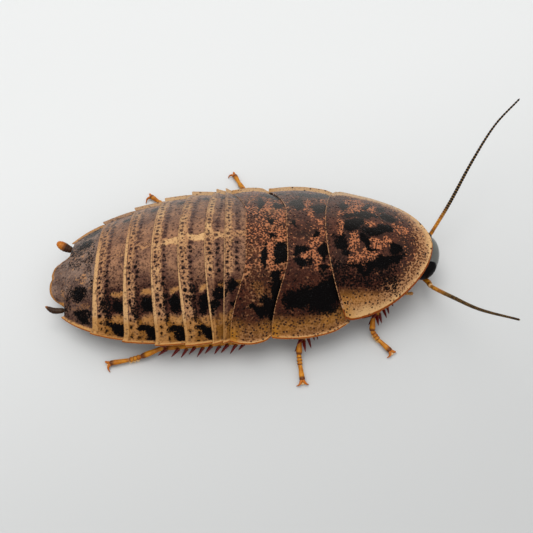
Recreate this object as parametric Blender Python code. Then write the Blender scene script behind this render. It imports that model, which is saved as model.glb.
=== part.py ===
"""Dubia roach nymph, life size, standing still on its six feet.

The head points along +X, the body's left side is +Y and the feet stand at Z = 0. The body is
described by a few smooth lines along X: the sideways bend of its axis, its half width, the
height of its margin, the height of its back and the height of its belly. Every plate is a
lofted patch of those lines, parted from its neighbours by a narrow gap.
"""
import math

import bmesh
import bpy
from mathutils import Matrix, Vector

MM = 0.001
GAP = 0.3 * MM
UP = Vector((0.0, 0.0, 1.0))
MERGE = 0.0001 * MM

# Lines of the body
APEX_X = 19.0 * MM
TAIL_X = -19.0 * MM
HALF_WIDTH = 9.2 * MM
WIDEST_X = -2.5 * MM
FRONT_REACH = 22.0 * MM
REAR_REACH = 16.95 * MM
FRONT_POWER = 3.0
REAR_POWER = 2.0
BEND_X = 10.0 * MM
BEND_FRONT = 0.4 * MM
BEND_REAR = 1.88 * MM
BEND_POWER = 1.6
MARGIN_Z = 3.1 * MM
MARGIN_DROP = 0.56 * MM
MARGIN_DROP_X = -5.0 * MM
MARGIN_DROP_POWER = 1.5
BACK_Z = 7.85 * MM
BACK_X = 1.0 * MM
APEX_Z = 5.3 * MM
TAIL_Z = 2.7 * MM
TAIL_REACH = 20.5 * MM
BACK_FRONT_POWER = 0.7
BACK_REAR_POWER = 2.9
BACK_REAR_FALL = 1.45
DOME_POWER = 2.1
DOME_FALL = 0.9
RIM = 0.45 * MM
RIM_SHARE = 0.35
LIFT = 0.25 * MM
CHEST_Z = 3.3 * MM
BELLY_Z = 1.1 * MM
TAIL_BELLY_Z = 2.1 * MM
WAIST_X = -8.0 * MM
WAIST_LENGTH = 3.8 * MM
TAIL_RISE_X = -12.0 * MM
TAIL_RISE_LENGTH = 7.0 * MM
BELLY_SHARE = 0.82
BELLY_POWER = 4
BELLY_FALL = 0.8
COLUMNS = 20
EDGE_CROWDING = 0.3

# Pronotum, the shield over the head
SHIELD_X = 10.2 * MM
SHIELD_HALF_WIDTH = 7.72 * MM
SHIELD_FRONT = APEX_X - SHIELD_X
SHIELD_HIND = 1.73 * MM
SHIELD_MARGIN_Z = 3.45 * MM
SHIELD_HIND_POWER = 0.87
SHIELD_OUTLINE_X_POWER = 1.25
SHIELD_OUTLINE_Y_POWER = 1.11
SHIELD_WIDTH_POWER = 1.6
SHIELD_WIDTH_FALL = 1.0 / 1.8
SHIELD_MIDDLE_X = 13.0 * MM
SHIELD_LIFT_LENGTH = 3.0 * MM
HOOD_Z = 4.85 * MM
HOOD_START_X = 14.1 * MM
HOOD_END_X = 15.1 * MM
SHIELD_CELLS = 16

# Hind edges of the plates behind it, at the midline and at the corners
PAD_SWEEP = 1.7 * MM
PAD_START = 0.28
PAD_SHARE = 0.7
PAD_DRAW = 0.03
MESONOTUM_X = 4.75 * MM
METANOTUM_X = 0.82 * MM
FIRST_TERGITE_X = -1.2 * MM
FIRST_TERGITE_SWEEP = 0.35 * MM
TERGITE_EDGES = (
    (-3.12 * MM, -2.41 * MM),
    (-5.69 * MM, -4.96 * MM),
    (-8.26 * MM, -7.82 * MM),
    (-10.94 * MM, -10.96 * MM),
    (-14.06 * MM, -14.15 * MM),
    (-17.16 * MM, -17.14 * MM),
)
TERGITE_WIDTH = 0.995
TERGITE_FLARE = 0.012
FIRST_TERGITE_STEP = 0.12 * MM
TIP_HALF_WIDTH = 2.95 * MM
TIP_TAPER = 0.12
TIP_NOTCH = 0.28 * MM
TIP_NOTCH_SHARE = 0.16
TIP_CORNER = 1.0 * MM
TIP_OVERHANG = 0.05 * MM
TIP_BELLY_SHARE = 0.3

# Head, leaning so that the mouth points down and back
HEAD_CENTRE = Vector((18.05, 0.2, 2.42)) * MM
NECK_START = Vector((14.2, 0.2, 2.2)) * MM
NECK_END = HEAD_CENTRE + Vector((0.2, 0.0, 0.6)) * MM
NECK_RADIUS = 0.8 * MM
HEAD_LEAN = math.radians(37.0)
HEAD_LONG = 2.45 * MM
HEAD_THICK = 1.45 * MM
HEAD_HALF_WIDTH = 2.6 * MM
MOUTH_LINE = 1.15 * MM
OCCIPUT_LINE = 1.15 * MM
EYE_SIZE = (1.25 * MM, 0.95 * MM, 0.8 * MM)
EYE_PLACE = (0.35 * MM, -0.1 * MM, 1.95 * MM)

# Tail feelers: root, tip and radii in millimetres
CERCI = {
    "cercus_left": ((-17.49, 2.3, 2.55), (-18.75, 2.75, 3.1), (0.36, 0.42, 0.42, 0.34, 0.14)),
    "cercus_right": ((-17.49, -4.85, 2.45), (-19.12, -4.55, 2.75), (0.3, 0.36, 0.32, 0.22, 0.08)),
}

# Antennae from root to tip in millimetres, and the radii that they share
ANTENNAE = {
    "antenna_right": (
        (18.95, -2.2, 1.75), (19.0, -3.35, 2.55), (20.2, -6.0, 5.0),
        (21.65, -9.15, 8.1), (23.45, -12.7, 12.5),
    ),
    "antenna_left": (
        (19.15, 2.5, 1.8), (19.75, 3.2, 2.8), (21.6, 5.6, 4.4),
        (24.0, 9.1, 6.7), (26.4, 12.1, 8.7), (28.95, 14.1, 10.5),
    ),
}
ANTENNA_RADII = (0.3, 0.27, 0.26, 0.24, 0.21, 0.18, 0.14)
ANTENNA_POINTS = 18

# Palps: places ahead, out from the head's middle and up, in millimetres
PALP_PATH = ((16.0, 2.7, 0.9), (16.4, 3.05, 0.8), (16.8, 3.25, 0.95), (17.2, 3.35, 1.15))
PALP_RADII = (0.24, 0.22, 0.24, 0.2)
PALP_POINTS = 9

# Legs
SPINE_RADII = (0.23, 0.17, 0.03)
SPINE_LEAN = math.radians(52.0)
SPINE_ROOT = 0.12 * MM
SPINE_UP = math.radians(8.0)
SPINE_DOWN = math.radians(-22.0)
SPINES_START = 0.2
SPINES_SHARE = 0.66
CROWN_COUNT = 5
CROWN_TURN = math.radians(20.0)
CROWN_LEAN = math.radians(42.0)
CROWN_CLEARANCE = math.radians(38.0)
CROWN_BACK = 0.42 * MM
CROWN_ROOT = 0.14 * MM
PAD_SOLE = 0.25 * MM
PAD_NECK = 0.2 * MM
JOINT_OVERLAP = 0.15 * MM

COLOURS = {
    "pronotum": (0.24, 0.15, 0.085),
    "thorax": (0.16, 0.075, 0.045),
    "tergite": (0.17, 0.11, 0.08),
    "head": (0.02, 0.018, 0.017),
    "eye": (0.008, 0.007, 0.008),
    "mouth": (0.30, 0.13, 0.04),
    "leg": (0.55, 0.27, 0.06),
    "antenna": (0.09, 0.055, 0.035),
    "cercus": (0.16, 0.07, 0.03),
}


def point(x, y, z):
    """A place given in millimetres."""
    return Vector((x, y, z)) * MM


def scaled(radius, *shares):
    """Shares of a radius given in millimetres."""
    return [radius * share * MM for share in shares]


def smooth(t):
    t = min(1.0, max(0.0, t))
    return t * t * (3.0 - 2.0 * t)


def bend(x):
    """Sideways place of the body's axis, which curves to the right toward the tail."""
    if x < BEND_X:
        return BEND_FRONT - BEND_REAR * ((BEND_X - x) / (BEND_X - TAIL_X)) ** BEND_POWER
    return BEND_FRONT * (1.0 - ((x - BEND_X) / (APEX_X - BEND_X)) ** 2)


def half_width(x):
    """Half width of the plates behind the pronotum."""
    ahead = x > WIDEST_X
    t = abs(x - WIDEST_X) / (FRONT_REACH if ahead else REAR_REACH)
    return HALF_WIDTH * math.sqrt(max(0.0, 1.0 - t ** (FRONT_POWER if ahead else REAR_POWER)))


def margin_z(x):
    if x > MARGIN_DROP_X:
        return MARGIN_Z
    t = (MARGIN_DROP_X - x) / (MARGIN_DROP_X - TAIL_X)
    return MARGIN_Z - MARGIN_DROP * t ** MARGIN_DROP_POWER


def back_z(x):
    """Height of the back along the axis."""
    if x > BACK_X:
        t = min(1.0, (x - BACK_X) / (APEX_X - BACK_X))
        return APEX_Z + (BACK_Z - APEX_Z) * (1.0 - t ** 2) ** BACK_FRONT_POWER
    t = min(1.0, (BACK_X - x) / TAIL_REACH)
    return TAIL_Z + (BACK_Z - TAIL_Z) * (1.0 - t ** BACK_REAR_POWER) ** BACK_REAR_FALL


def dome(low, high, across):
    """Height of a rounded back at a share of the half width."""
    across = min(1.0, abs(across))
    return low + (high - low) * (1.0 - across ** DOME_POWER) ** DOME_FALL


def chest_z(x, across):
    """Underside of the thorax: a thin margin, then a flat roof above the legs."""
    rim = margin_z(x) - RIM
    return rim + (CHEST_Z - rim) * smooth((1.0 - abs(across)) / RIM_SHARE)


def belly_z(x, across):
    """Underside of the abdomen: a thin margin, then a full belly that rises to both ends."""
    rim = margin_z(x) - RIM
    low = BELLY_Z
    low += (CHEST_Z - BELLY_Z) * smooth((x - WAIST_X) / WAIST_LENGTH)
    low += (TAIL_BELLY_Z - BELLY_Z) * smooth((TAIL_RISE_X - x) / TAIL_RISE_LENGTH)
    inside = max(0.0, 1.0 - (abs(across) / BELLY_SHARE) ** BELLY_POWER)
    return rim + (low - rim) * inside ** BELLY_FALL


def shield_half_width(x):
    t = min(1.0, max(0.0, (x - SHIELD_X) / SHIELD_FRONT))
    return SHIELD_HALF_WIDTH * (1.0 - t ** SHIELD_WIDTH_POWER) ** SHIELD_WIDTH_FALL


def shield_hind_x(y):
    """Hind edge of the pronotum at a distance from the axis."""
    t = min(1.0, abs(y) / SHIELD_HALF_WIDTH)
    return SHIELD_X - SHIELD_HIND * (1.0 - t ** 2) ** SHIELD_HIND_POWER


def shield_margin_z(x):
    t = max(0.0, (x - BEND_X) / (APEX_X - BEND_X))
    return SHIELD_MARGIN_Z + (APEX_Z - SHIELD_MARGIN_Z) * t ** 2


def shield_outline(angle):
    """Edge of the pronotum in plan, from its front apex round to its hind edge."""
    c = math.cos(angle)
    s = math.sin(angle)
    if c > 0.0:
        x = SHIELD_X + SHIELD_FRONT * c ** SHIELD_OUTLINE_X_POWER
        y = SHIELD_HALF_WIDTH * math.copysign(abs(s) ** SHIELD_OUTLINE_Y_POWER, s)
        return x, y
    y = SHIELD_HALF_WIDTH * s
    return shield_hind_x(y), y


def shield_across(x, y):
    width = max(shield_half_width(x), 0.05 * MM)
    return min(1.0, abs(y - bend(x)) / width)


def shield_top_z(x, y):
    lift = 0.5 * LIFT * smooth((SHIELD_MIDDLE_X - x) / SHIELD_LIFT_LENGTH)
    return dome(shield_margin_z(x), back_z(x), shield_across(x, y)) + lift


def shield_under_z(x, y):
    """Thin at the margin, hollow over the head, flat over the front legs."""
    rim = shield_margin_z(x) - RIM
    roof = CHEST_Z + (HOOD_Z - CHEST_Z) * smooth((x - HOOD_START_X) / (HOOD_END_X - HOOD_START_X))
    return rim + (roof - rim) * smooth((1.0 - shield_across(x, y)) / RIM_SHARE)


def material_for(name, kind, roughness=0.35):
    material = bpy.data.materials.new(name)
    material.use_nodes = True
    shader = material.node_tree.nodes["Principled BSDF"]
    shader.inputs["Base Color"].default_value = (*COLOURS[kind], 1.0)
    shader.inputs["Roughness"].default_value = roughness
    shader.inputs["Metallic"].default_value = 0.0
    return material


def add_part(name, data, kind, roughness=0.35):
    """Link one finished piece, mesh or curve, with a material of its own."""
    part = bpy.data.objects.new(name, data)
    data.materials.append(material_for(name, kind, roughness))
    PARTS.objects.link(part)
    return part


def mesh_from(bm, name):
    mesh = bpy.data.meshes.new(name)
    bm.normal_update()
    bm.to_mesh(mesh)
    bm.free()
    mesh.shade_smooth()
    mesh.set_sharp_from_angle(angle=math.radians(40.0))
    return mesh


def keep_largest(bm):
    """Leave only the biggest closed surface of a fused piece."""
    left = set(bm.verts)
    islands = []
    while left:
        island = {left.pop()}
        edge = list(island)
        while edge:
            for link in edge.pop().link_edges:
                for vert in link.verts:
                    if vert in left:
                        left.remove(vert)
                        island.add(vert)
                        edge.append(vert)
        islands.append(island)
    biggest = max(islands, key=len)
    scraps = [vert for vert in bm.verts if vert not in biggest]
    bmesh.ops.delete(bm, geom=scraps, context="VERTS")


def combine(base, others, operation):
    """Join or carve closed pieces, given and returned as bmeshes, by one Boolean modifier."""
    tools = bpy.data.collections.new("tools")
    bpy.context.scene.collection.children.link(tools)
    body = bpy.data.objects.new("body", mesh_from(base, "body"))
    PARTS.objects.link(body)
    for other in others:
        tools.objects.link(bpy.data.objects.new("tool", mesh_from(other, "tool")))
    boolean = body.modifiers.new("combine", "BOOLEAN")
    boolean.operation = operation
    boolean.solver = "EXACT"
    boolean.operand_type = "COLLECTION"
    boolean.collection = tools
    graph = bpy.context.evaluated_depsgraph_get()
    joined = bpy.data.meshes.new_from_object(body.evaluated_get(graph))
    result = bmesh.new()
    result.from_mesh(joined)
    for used in [body, *tools.objects]:
        bpy.data.objects.remove(used, do_unlink=True)
    bpy.data.collections.remove(tools)
    bmesh.ops.remove_doubles(result, verts=result.verts, dist=MERGE)
    bmesh.ops.triangulate(result, faces=result.faces)
    bmesh.ops.dissolve_degenerate(result, edges=result.edges, dist=MERGE)
    keep_largest(result)
    return result


def clip(bm, place, normal):
    """Cut a convex piece flat, and drop what lies ahead of the plane along its normal."""
    everything = [*bm.verts, *bm.edges, *bm.faces]
    cut = bmesh.ops.bisect_plane(
        bm, geom=everything, plane_co=place, plane_no=normal, clear_outer=True, dist=MERGE
    )
    rim = [item for item in cut["geom_cut"] if isinstance(item, bmesh.types.BMEdge)]
    if rim:
        bmesh.ops.holes_fill(bm, edges=rim, sides=0)


def along(direction, start):
    """Placement that turns local X to a direction and keeps local Z as upright as it can."""
    x = direction.normalized()
    guide = UP if abs(x.dot(UP)) < 0.95 else Vector((1.0, 0.0, 0.0))
    y = guide.cross(x).normalized()
    z = x.cross(y)
    turn = Matrix((x, y, z)).transposed().to_4x4()
    return Matrix.Translation(start) @ turn


def spindle(start, end, radii, flat=1.0, sides=10):
    """Closed turned body between two places, with its radii evenly spaced along it."""
    length = (end - start).length
    step = length / (len(radii) - 1)
    profile = [(0.0, 0.0)]
    profile += [(step * i, radius) for i, radius in enumerate(radii)]
    profile += [(length, 0.0)]
    bm = bmesh.new()
    verts = [bm.verts.new((x, 0.0, radius)) for x, radius in profile]
    edges = [bm.edges.new(pair) for pair in zip(verts, verts[1:])]
    bmesh.ops.spin(
        bm, geom=verts + edges, cent=(0.0, 0.0, 0.0), axis=(1.0, 0.0, 0.0),
        angle=math.tau, steps=sides, use_merge=True
    )
    bmesh.ops.remove_doubles(bm, verts=bm.verts, dist=MERGE)
    bmesh.ops.recalc_face_normals(bm, faces=bm.faces)
    squash = Matrix.Diagonal((1.0, 1.0, flat, 1.0))
    bmesh.ops.transform(bm, matrix=along(end - start, start) @ squash, verts=bm.verts)
    return bm


def ellipsoid(placement, size, u_segments=16, v_segments=10):
    bm = bmesh.new()
    bmesh.ops.create_uvsphere(bm, u_segments=u_segments, v_segments=v_segments, radius=1.0)
    bmesh.ops.transform(bm, matrix=placement @ Matrix.Diagonal((*size, 1.0)), verts=bm.verts)
    return bm


def thicken(bm, under):
    """Extrude a patch straight down to its underside and close it all round."""
    bmesh.ops.triangulate(bm, faces=bm.faces)
    copied = bmesh.ops.extrude_face_region(bm, geom=bm.faces[:], use_keep_orig=True)
    for item in copied["geom"]:
        if isinstance(item, bmesh.types.BMVert):
            item.co.z = under(item.co.x, item.co.y)
    bmesh.ops.recalc_face_normals(bm, faces=bm.faces)


def lateral(column):
    """Share of the half width at a column, closer together toward the margins."""
    t = 2.0 * column / COLUMNS - 1.0
    return t * (1.0 + EDGE_CROWDING - EDGE_CROWDING * t ** 2)


def plate(name, rows, width, under, kind):
    """One ring of the body. Each row is an edge curve over the width and a lift above the back."""
    bm = bmesh.new()
    bmesh.ops.create_grid(bm, x_segments=len(rows) - 1, y_segments=COLUMNS, size=1.0)
    for vert in bm.verts:
        row = round((vert.co.x + 1.0) / 2.0 * (len(rows) - 1))
        across = lateral(round((vert.co.y + 1.0) / 2.0 * COLUMNS))
        edge, lift = rows[row]
        x = edge(across)
        share = row / (len(rows) - 1)
        y = bend(x) + across * width(x, share)
        vert.co = (x, y, dome(margin_z(x), back_z(x), across) + lift)
    thicken(bm, under)
    return add_part(name, mesh_from(bm, name), kind)


def between(front, hind, share):
    return lambda across: front(across) + (hind(across) - front(across)) * share


def behind(edge):
    """The front edge of the next plate, one gap behind a hind edge that may run aslant."""
    def front(across):
        slope = (edge(across + 0.02) - edge(across - 0.02)) / (0.04 * HALF_WIDTH)
        return edge(across) - GAP * math.sqrt(1.0 + slope ** 2)
    return front


def plain_rows(front, hind, count=3):
    """Rows of a plate that rises from under the plate before it to its own hind edge."""
    rows = []
    for i in range(count + 1):
        share = i / count
        rows.append((between(front, hind, share), LIFT * (share - 0.5)))
    return rows


def across_of(x, y):
    return (y - bend(x)) / max(half_width(x), 0.5 * MM)


def chest_under(x, y):
    return chest_z(x, across_of(x, y))


def belly_under(x, y):
    return belly_z(x, across_of(x, y))


def thorax_width(x, share):
    """Thoracic plates are drawn in at their shoulders and at their hind corners."""
    return half_width(x) * (1.0 - PAD_DRAW * (2.0 * share - 1.0) ** 4)


def tergite_width(x, share):
    return half_width(x) * (TERGITE_WIDTH + TERGITE_FLARE * share)


def pad_edge(middle):
    """Hind edge of a plate whose sides sweep back into wing pads."""
    return lambda across: middle - PAD_SWEEP * smooth((abs(across) - PAD_START) / PAD_SHARE)


def tergite_edge(middle, corner):
    return lambda across: middle + (corner - middle) * across ** 2


def first_tergite_edge(across):
    return FIRST_TERGITE_X - FIRST_TERGITE_SWEEP * abs(across) ** 3


def shield_edge(across):
    return shield_hind_x(across * thorax_width(BEND_X, 0.0))


def build_pronotum():
    bm = bmesh.new()
    bmesh.ops.create_grid(bm, x_segments=SHIELD_CELLS, y_segments=SHIELD_CELLS, size=1.0)
    for vert in bm.verts:
        u, v = vert.co.x, vert.co.y
        p = u * math.sqrt(1.0 - v * v / 2.0)
        q = v * math.sqrt(1.0 - u * u / 2.0)
        radius = math.hypot(p, q)
        edge_x, edge_y = shield_outline(math.atan2(q, p))
        x = SHIELD_MIDDLE_X + (edge_x - SHIELD_MIDDLE_X) * radius
        y = bend(x) + edge_y * radius
        vert.co = (x, y, shield_top_z(x, y))
    thicken(bm, shield_under_z)
    add_part("pronotum", mesh_from(bm, "pronotum"), "pronotum")


def build_trunk():
    meso = pad_edge(MESONOTUM_X)
    meta = pad_edge(METANOTUM_X)
    plate("mesothorax", plain_rows(behind(shield_edge), meso, 6), thorax_width, chest_under, "thorax")
    plate("metathorax", plain_rows(behind(meso), meta, 4), thorax_width, chest_under, "thorax")
    edges = [tergite_edge(*pair) for pair in TERGITE_EDGES]
    front = behind(meta)
    second = edges[0]
    rows = [
        (front, -0.5 * LIFT),
        (first_tergite_edge, 0.5 * LIFT),
        (lambda across: first_tergite_edge(across) - FIRST_TERGITE_STEP, -0.5 * LIFT),
        (between(first_tergite_edge, second, 0.6), 0.0),
        (second, 0.5 * LIFT),
    ]
    plate("abdomen_1", rows, tergite_width, belly_under, "tergite")
    for number, (ahead, hind) in enumerate(zip(edges, edges[1:]), start=2):
        rows = plain_rows(behind(ahead), hind)
        plate(f"abdomen_{number}", rows, tergite_width, belly_under, "tergite")
    build_tip(edges[-1])


def build_tip(last_edge):
    """Last plate of the back, with a shallow notch between two lobes, and the plate under it."""
    def hind(across):
        notch = TIP_NOTCH * math.exp(-((across / TIP_NOTCH_SHARE) ** 2))
        corner = TIP_CORNER * across ** 4
        return TAIL_X + notch + corner - TIP_OVERHANG

    def width(x, share):
        return TIP_HALF_WIDTH * (1.0 - TIP_TAPER * share)

    def under(x, y):
        return min(belly_z(x, TIP_BELLY_SHARE), margin_z(x) - RIM)

    rows = plain_rows(behind(last_edge), hind)
    plate("abdomen_tip", rows, width, under, "tergite")


def build_cerci():
    """Short tail feelers that come out beside the last plate."""
    for name, (root, tip, radii) in CERCI.items():
        bm = spindle(point(*root), point(*tip), scaled(1.0, *radii), flat=0.8)
        add_part(name, mesh_from(bm, name), "cercus")


def head_frame():
    """Placement of the head: local X runs from mouth to crown, local Y out of the face."""
    long_axis = Vector((math.sin(HEAD_LEAN), 0.0, math.cos(HEAD_LEAN)))
    face_axis = Vector((math.cos(HEAD_LEAN), 0.0, -math.sin(HEAD_LEAN)))
    side_axis = long_axis.cross(face_axis)
    turn = Matrix((long_axis, face_axis, side_axis)).transposed().to_4x4()
    return Matrix.Translation(HEAD_CENTRE) @ turn


def build_head():
    placement = head_frame()
    turn = placement.to_3x3()
    crown = turn @ Vector((1.0, 0.0, 0.0))
    face = turn @ Vector((0.0, 1.0, 0.0))
    size = (HEAD_LONG, HEAD_THICK, HEAD_HALF_WIDTH)
    skull = ellipsoid(placement, size, 24, 16)
    clip(skull, HEAD_CENTRE - crown * MOUTH_LINE, -crown)
    clip(skull, HEAD_CENTRE - face * OCCIPUT_LINE, -face)
    sockets = []
    for side, name in ((1.0, "eye_left"), (-1.0, "eye_right")):
        along_head, out_of_face, out = EYE_PLACE
        local = Vector((along_head, out_of_face, side * out))
        socket = placement @ Matrix.Translation(local)
        eye = ellipsoid(socket, EYE_SIZE)
        sockets.append(ellipsoid(socket, [radius + GAP for radius in EYE_SIZE]))
        add_part(name, mesh_from(eye, name), "eye", 0.15)
    head = combine(skull, sockets, "DIFFERENCE")
    add_part("head", mesh_from(head, "head"), "head", 0.15)
    mouth = ellipsoid(placement, size, 24, 16)
    clip(mouth, HEAD_CENTRE - crown * (MOUTH_LINE + GAP), crown)
    add_part("mouthparts", mesh_from(mouth, "mouthparts"), "mouth")
    neck = spindle(NECK_START, NECK_END, [0.94 * NECK_RADIUS, NECK_RADIUS, NECK_RADIUS, NECK_RADIUS])
    clip(neck, HEAD_CENTRE - face * (OCCIPUT_LINE + GAP), face)
    add_part("neck", mesh_from(neck, "neck"), "mouth")


def smooth_path(places, count):
    """Points along a Catmull-Rom curve through the given places."""
    ends = [2.0 * places[0] - places[1], *places, 2.0 * places[-1] - places[-2]]
    spans = len(places) - 1
    path = []
    for i in range(count):
        t = i / (count - 1) * spans
        k = min(int(t), spans - 1)
        t -= k
        a, b, c, d = ends[k:k + 4]
        path.append(
            0.5 * (2.0 * b + (c - a) * t + (2.0 * a - 5.0 * b + 4.0 * c - d) * t ** 2
                   + (3.0 * b - 3.0 * c + d - a) * t ** 3)
        )
    return path


def tube(name, path, radii, kind):
    """A bent tube as a curve, its radii evenly spaced along the path."""
    curve = bpy.data.curves.new(name, "CURVE")
    curve.dimensions = "3D"
    curve.bevel_depth = 1.0 * MM
    curve.bevel_resolution = 2
    curve.use_fill_caps = True
    spline = curve.splines.new("POLY")
    spline.points.add(len(path) - 1)
    for i, place in enumerate(path):
        t = i / (len(path) - 1) * (len(radii) - 1)
        k = min(int(t), len(radii) - 2)
        radius = radii[k] + (radii[k + 1] - radii[k]) * (t - k)
        spline.points[i].co = (*place, 1.0)
        spline.points[i].radius = radius / MM
    add_part(name, curve, kind)


def build_feelers():
    """Antennae, raised and spread, and the palps beside the mouth."""
    for name, places in ANTENNAE.items():
        path = smooth_path([point(*place) for place in places], ANTENNA_POINTS)
        tube(name, path, scaled(1.0, *ANTENNA_RADII), "antenna")
    for side, name in ((1.0, "palp_left"), (-1.0, "palp_right")):
        middle = HEAD_CENTRE.y / MM
        places = [point(x, middle + side * out, z) for x, out, z in PALP_PATH]
        tube(name, smooth_path(places, PALP_POINTS), scaled(1.0, *PALP_RADII), "leg")


def mitre(joint, before, after):
    """Plane that parts two limbs at a bent joint: its normal points to the first limb."""
    inward = (before - joint).normalized()
    outward = (after - joint).normalized()
    return (inward - outward).normalized()


def limb(start, end, radii, flat, before=None, after=None, sides=10):
    """One length of a leg, run past its joints and cut flat half a gap from each."""
    run = (end - start).normalized()
    first = start - run * (0.6 * radii[0] if before else 0.0)
    last = end + run * (0.6 * radii[-1] if after else 0.0)
    bm = spindle(first, last, radii, flat, sides)
    if before:
        normal = mitre(start, before, end)
        clip(bm, start - normal * GAP / 2.0, normal)
    if after:
        normal = mitre(end, start, after)
        clip(bm, end + normal * GAP / 2.0, -normal)
    return bm


def spine(root, direction, length):
    return spindle(root, root + direction * length, scaled(1.0, *SPINE_RADII), sides=5)


def tibia_spines(knee, ankle, toes, side, sizes):
    """Two rows of spines along the tibia and a crown of them at its end."""
    axis = (ankle - knee).normalized()
    outer = axis.cross(UP).normalized()
    if outer.y * side < 0.0:
        outer = -outer
    upper = outer.cross(axis)
    if upper.z < 0.0:
        upper = -upper
    length = sizes["spine"]
    spines = []
    for sign, count in ((1.0, sizes["outer"]), (-1.0, sizes["inner"])):
        for i in range(count):
            place = knee.lerp(ankle, SPINES_START + SPINES_SHARE * (i + 0.5) / count)
            turn = SPINE_DOWN if i % 2 else SPINE_UP
            out = outer * sign * math.cos(turn) + upper * math.sin(turn)
            heading = axis * math.cos(SPINE_LEAN) + out * math.sin(SPINE_LEAN)
            share = 0.85 + 0.075 * (i % 3)
            spines.append(spine(place + out * SPINE_ROOT, heading, length * share))
    for i in range(CROWN_COUNT):
        turn = CROWN_TURN + math.tau * i / CROWN_COUNT
        out = outer * math.cos(turn) + upper * math.sin(turn)
        heading = axis * math.cos(CROWN_LEAN) + out * math.sin(CROWN_LEAN)
        if heading.angle(toes - ankle) > CROWN_CLEARANCE:
            place = ankle - axis * CROWN_BACK + out * CROWN_ROOT
            spines.append(spine(place, heading, length))
    return spines


def foot_pad(place):
    """Small flat-soled pad from a toe joint down to the ground."""
    bm = bmesh.new()
    bmesh.ops.create_cone(
        bm, cap_ends=True, segments=8, radius1=PAD_SOLE, radius2=PAD_NECK, depth=place.z
    )
    lower = Matrix.Translation(Vector((place.x, place.y, place.z / 2.0)))
    bmesh.ops.transform(bm, matrix=lower, verts=bm.verts)
    return bm


def build_tarsus(name, knee, ankle, heel, ball, toe, claws):
    """Five toe joints on flat pads, then two claws."""
    base = limb(ankle, heel, scaled(1.0, 0.22, 0.25, 0.27), 1.0, before=knee, sides=8)
    pieces = []
    joints = [heel.lerp(ball, i / 3.0) for i in range(4)]
    for start, end in zip(joints, joints[1:]):
        run = (end - start) * 0.35
        pieces.append(spindle(start - run, end, scaled(1.0, 0.2, 0.27), sides=8))
    run = (toe - ball).normalized() * JOINT_OVERLAP
    pieces.append(spindle(ball - run, toe, scaled(1.0, 0.19, 0.22, 0.27), sides=8))
    for place in (joints[2], joints[3], toe - run):
        pieces.append(foot_pad(place))
    for tip in claws:
        pieces.append(spindle(toe - run, tip, scaled(1.0, 0.2, 0.15, 0.04), sides=6))
    bm = combine(base, pieces, "UNION")
    add_part(name, mesh_from(bm, name), "leg")


# Places of each leg's joints: root, hip, knee, ankle, heel, ball, toe and the two claw tips
LEGS = {
    "fore_right": [
        (13.3, -0.7, 2.35), (11.0, -1.6, 1.6), (14.9, -3.5, 1.9), (13.0, -6.0, 1.55),
        (12.85, -7.15, 0.85), (13.5, -8.05, 0.5), (14.5, -9.15, 0.42),
        (15.04, -9.04, 0.1), (14.13, -9.72, 0.1),
    ],
    "fore_left": [
        (13.3, 1.5, 2.35), (11.0, 2.4, 1.6), (15.0, 4.3, 1.9), (13.5, 6.3, 1.5),
        (14.1, 7.1, 0.85), (14.6, 7.5, 0.5), (15.0, 8.1, 0.42),
        (15.5, 8.3, 0.1), (14.8, 8.7, 0.1),
    ],
    "mid_right": [
        (6.3, -0.95, 2.3), (3.3, -2.2, 1.6), (9.0, -3.7, 1.9), (5.73, -8.42, 1.4),
        (5.6, -9.75, 0.75), (5.72, -10.8, 0.5), (5.85, -12.0, 0.42),
        (5.27, -12.45, 0.1), (6.45, -12.3, 0.1),
    ],
    "mid_left": [
        (6.3, 1.55, 2.3), (3.3, 2.7, 1.6), (6.4, 7.7, 1.8), (0.8, 9.7, 1.25),
        (0.3, 10.95, 0.8), (-0.2, 12.0, 0.5), (-0.76, 13.3, 0.42),
        (-1.55, 13.25, 0.1), (-0.9, 13.95, 0.1),
    ],
    "hind_right": [
        (1.0, -1.35, 2.3), (-2.8, -2.7, 1.6), (1.3, -8.2, 1.65), (-7.41, -8.55, 1.25),
        (-9.9, -9.25, 0.65), (-11.2, -9.5, 0.48), (-12.73, -9.71, 0.42),
        (-13.2, -9.3, 0.1), (-12.7, -10.5, 0.1),
    ],
    "hind_left": [
        (1.0, 1.6, 2.3), (-2.8, 2.5, 1.6), (1.6, 7.6, 1.65), (-6.6, 8.1, 1.2),
        (-8.2, 9.1, 0.65), (-9.05, 9.75, 0.5), (-10.0, 10.65, 0.42),
        (-10.6, 9.95, 0.1), (-10.15, 11.2, 0.1),
    ],
}
LEG_SIZES = {
    "fore": {"coxa": 0.62, "femur": 0.5, "tibia": 0.38, "spine": 1.0 * MM, "outer": 2, "inner": 2},
    "mid": {"coxa": 0.85, "femur": 0.58, "tibia": 0.4, "spine": 1.1 * MM, "outer": 5, "inner": 4},
    "hind": {"coxa": 0.95, "femur": 0.66, "tibia": 0.42, "spine": 1.15 * MM, "outer": 9, "inner": 5},
}


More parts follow.
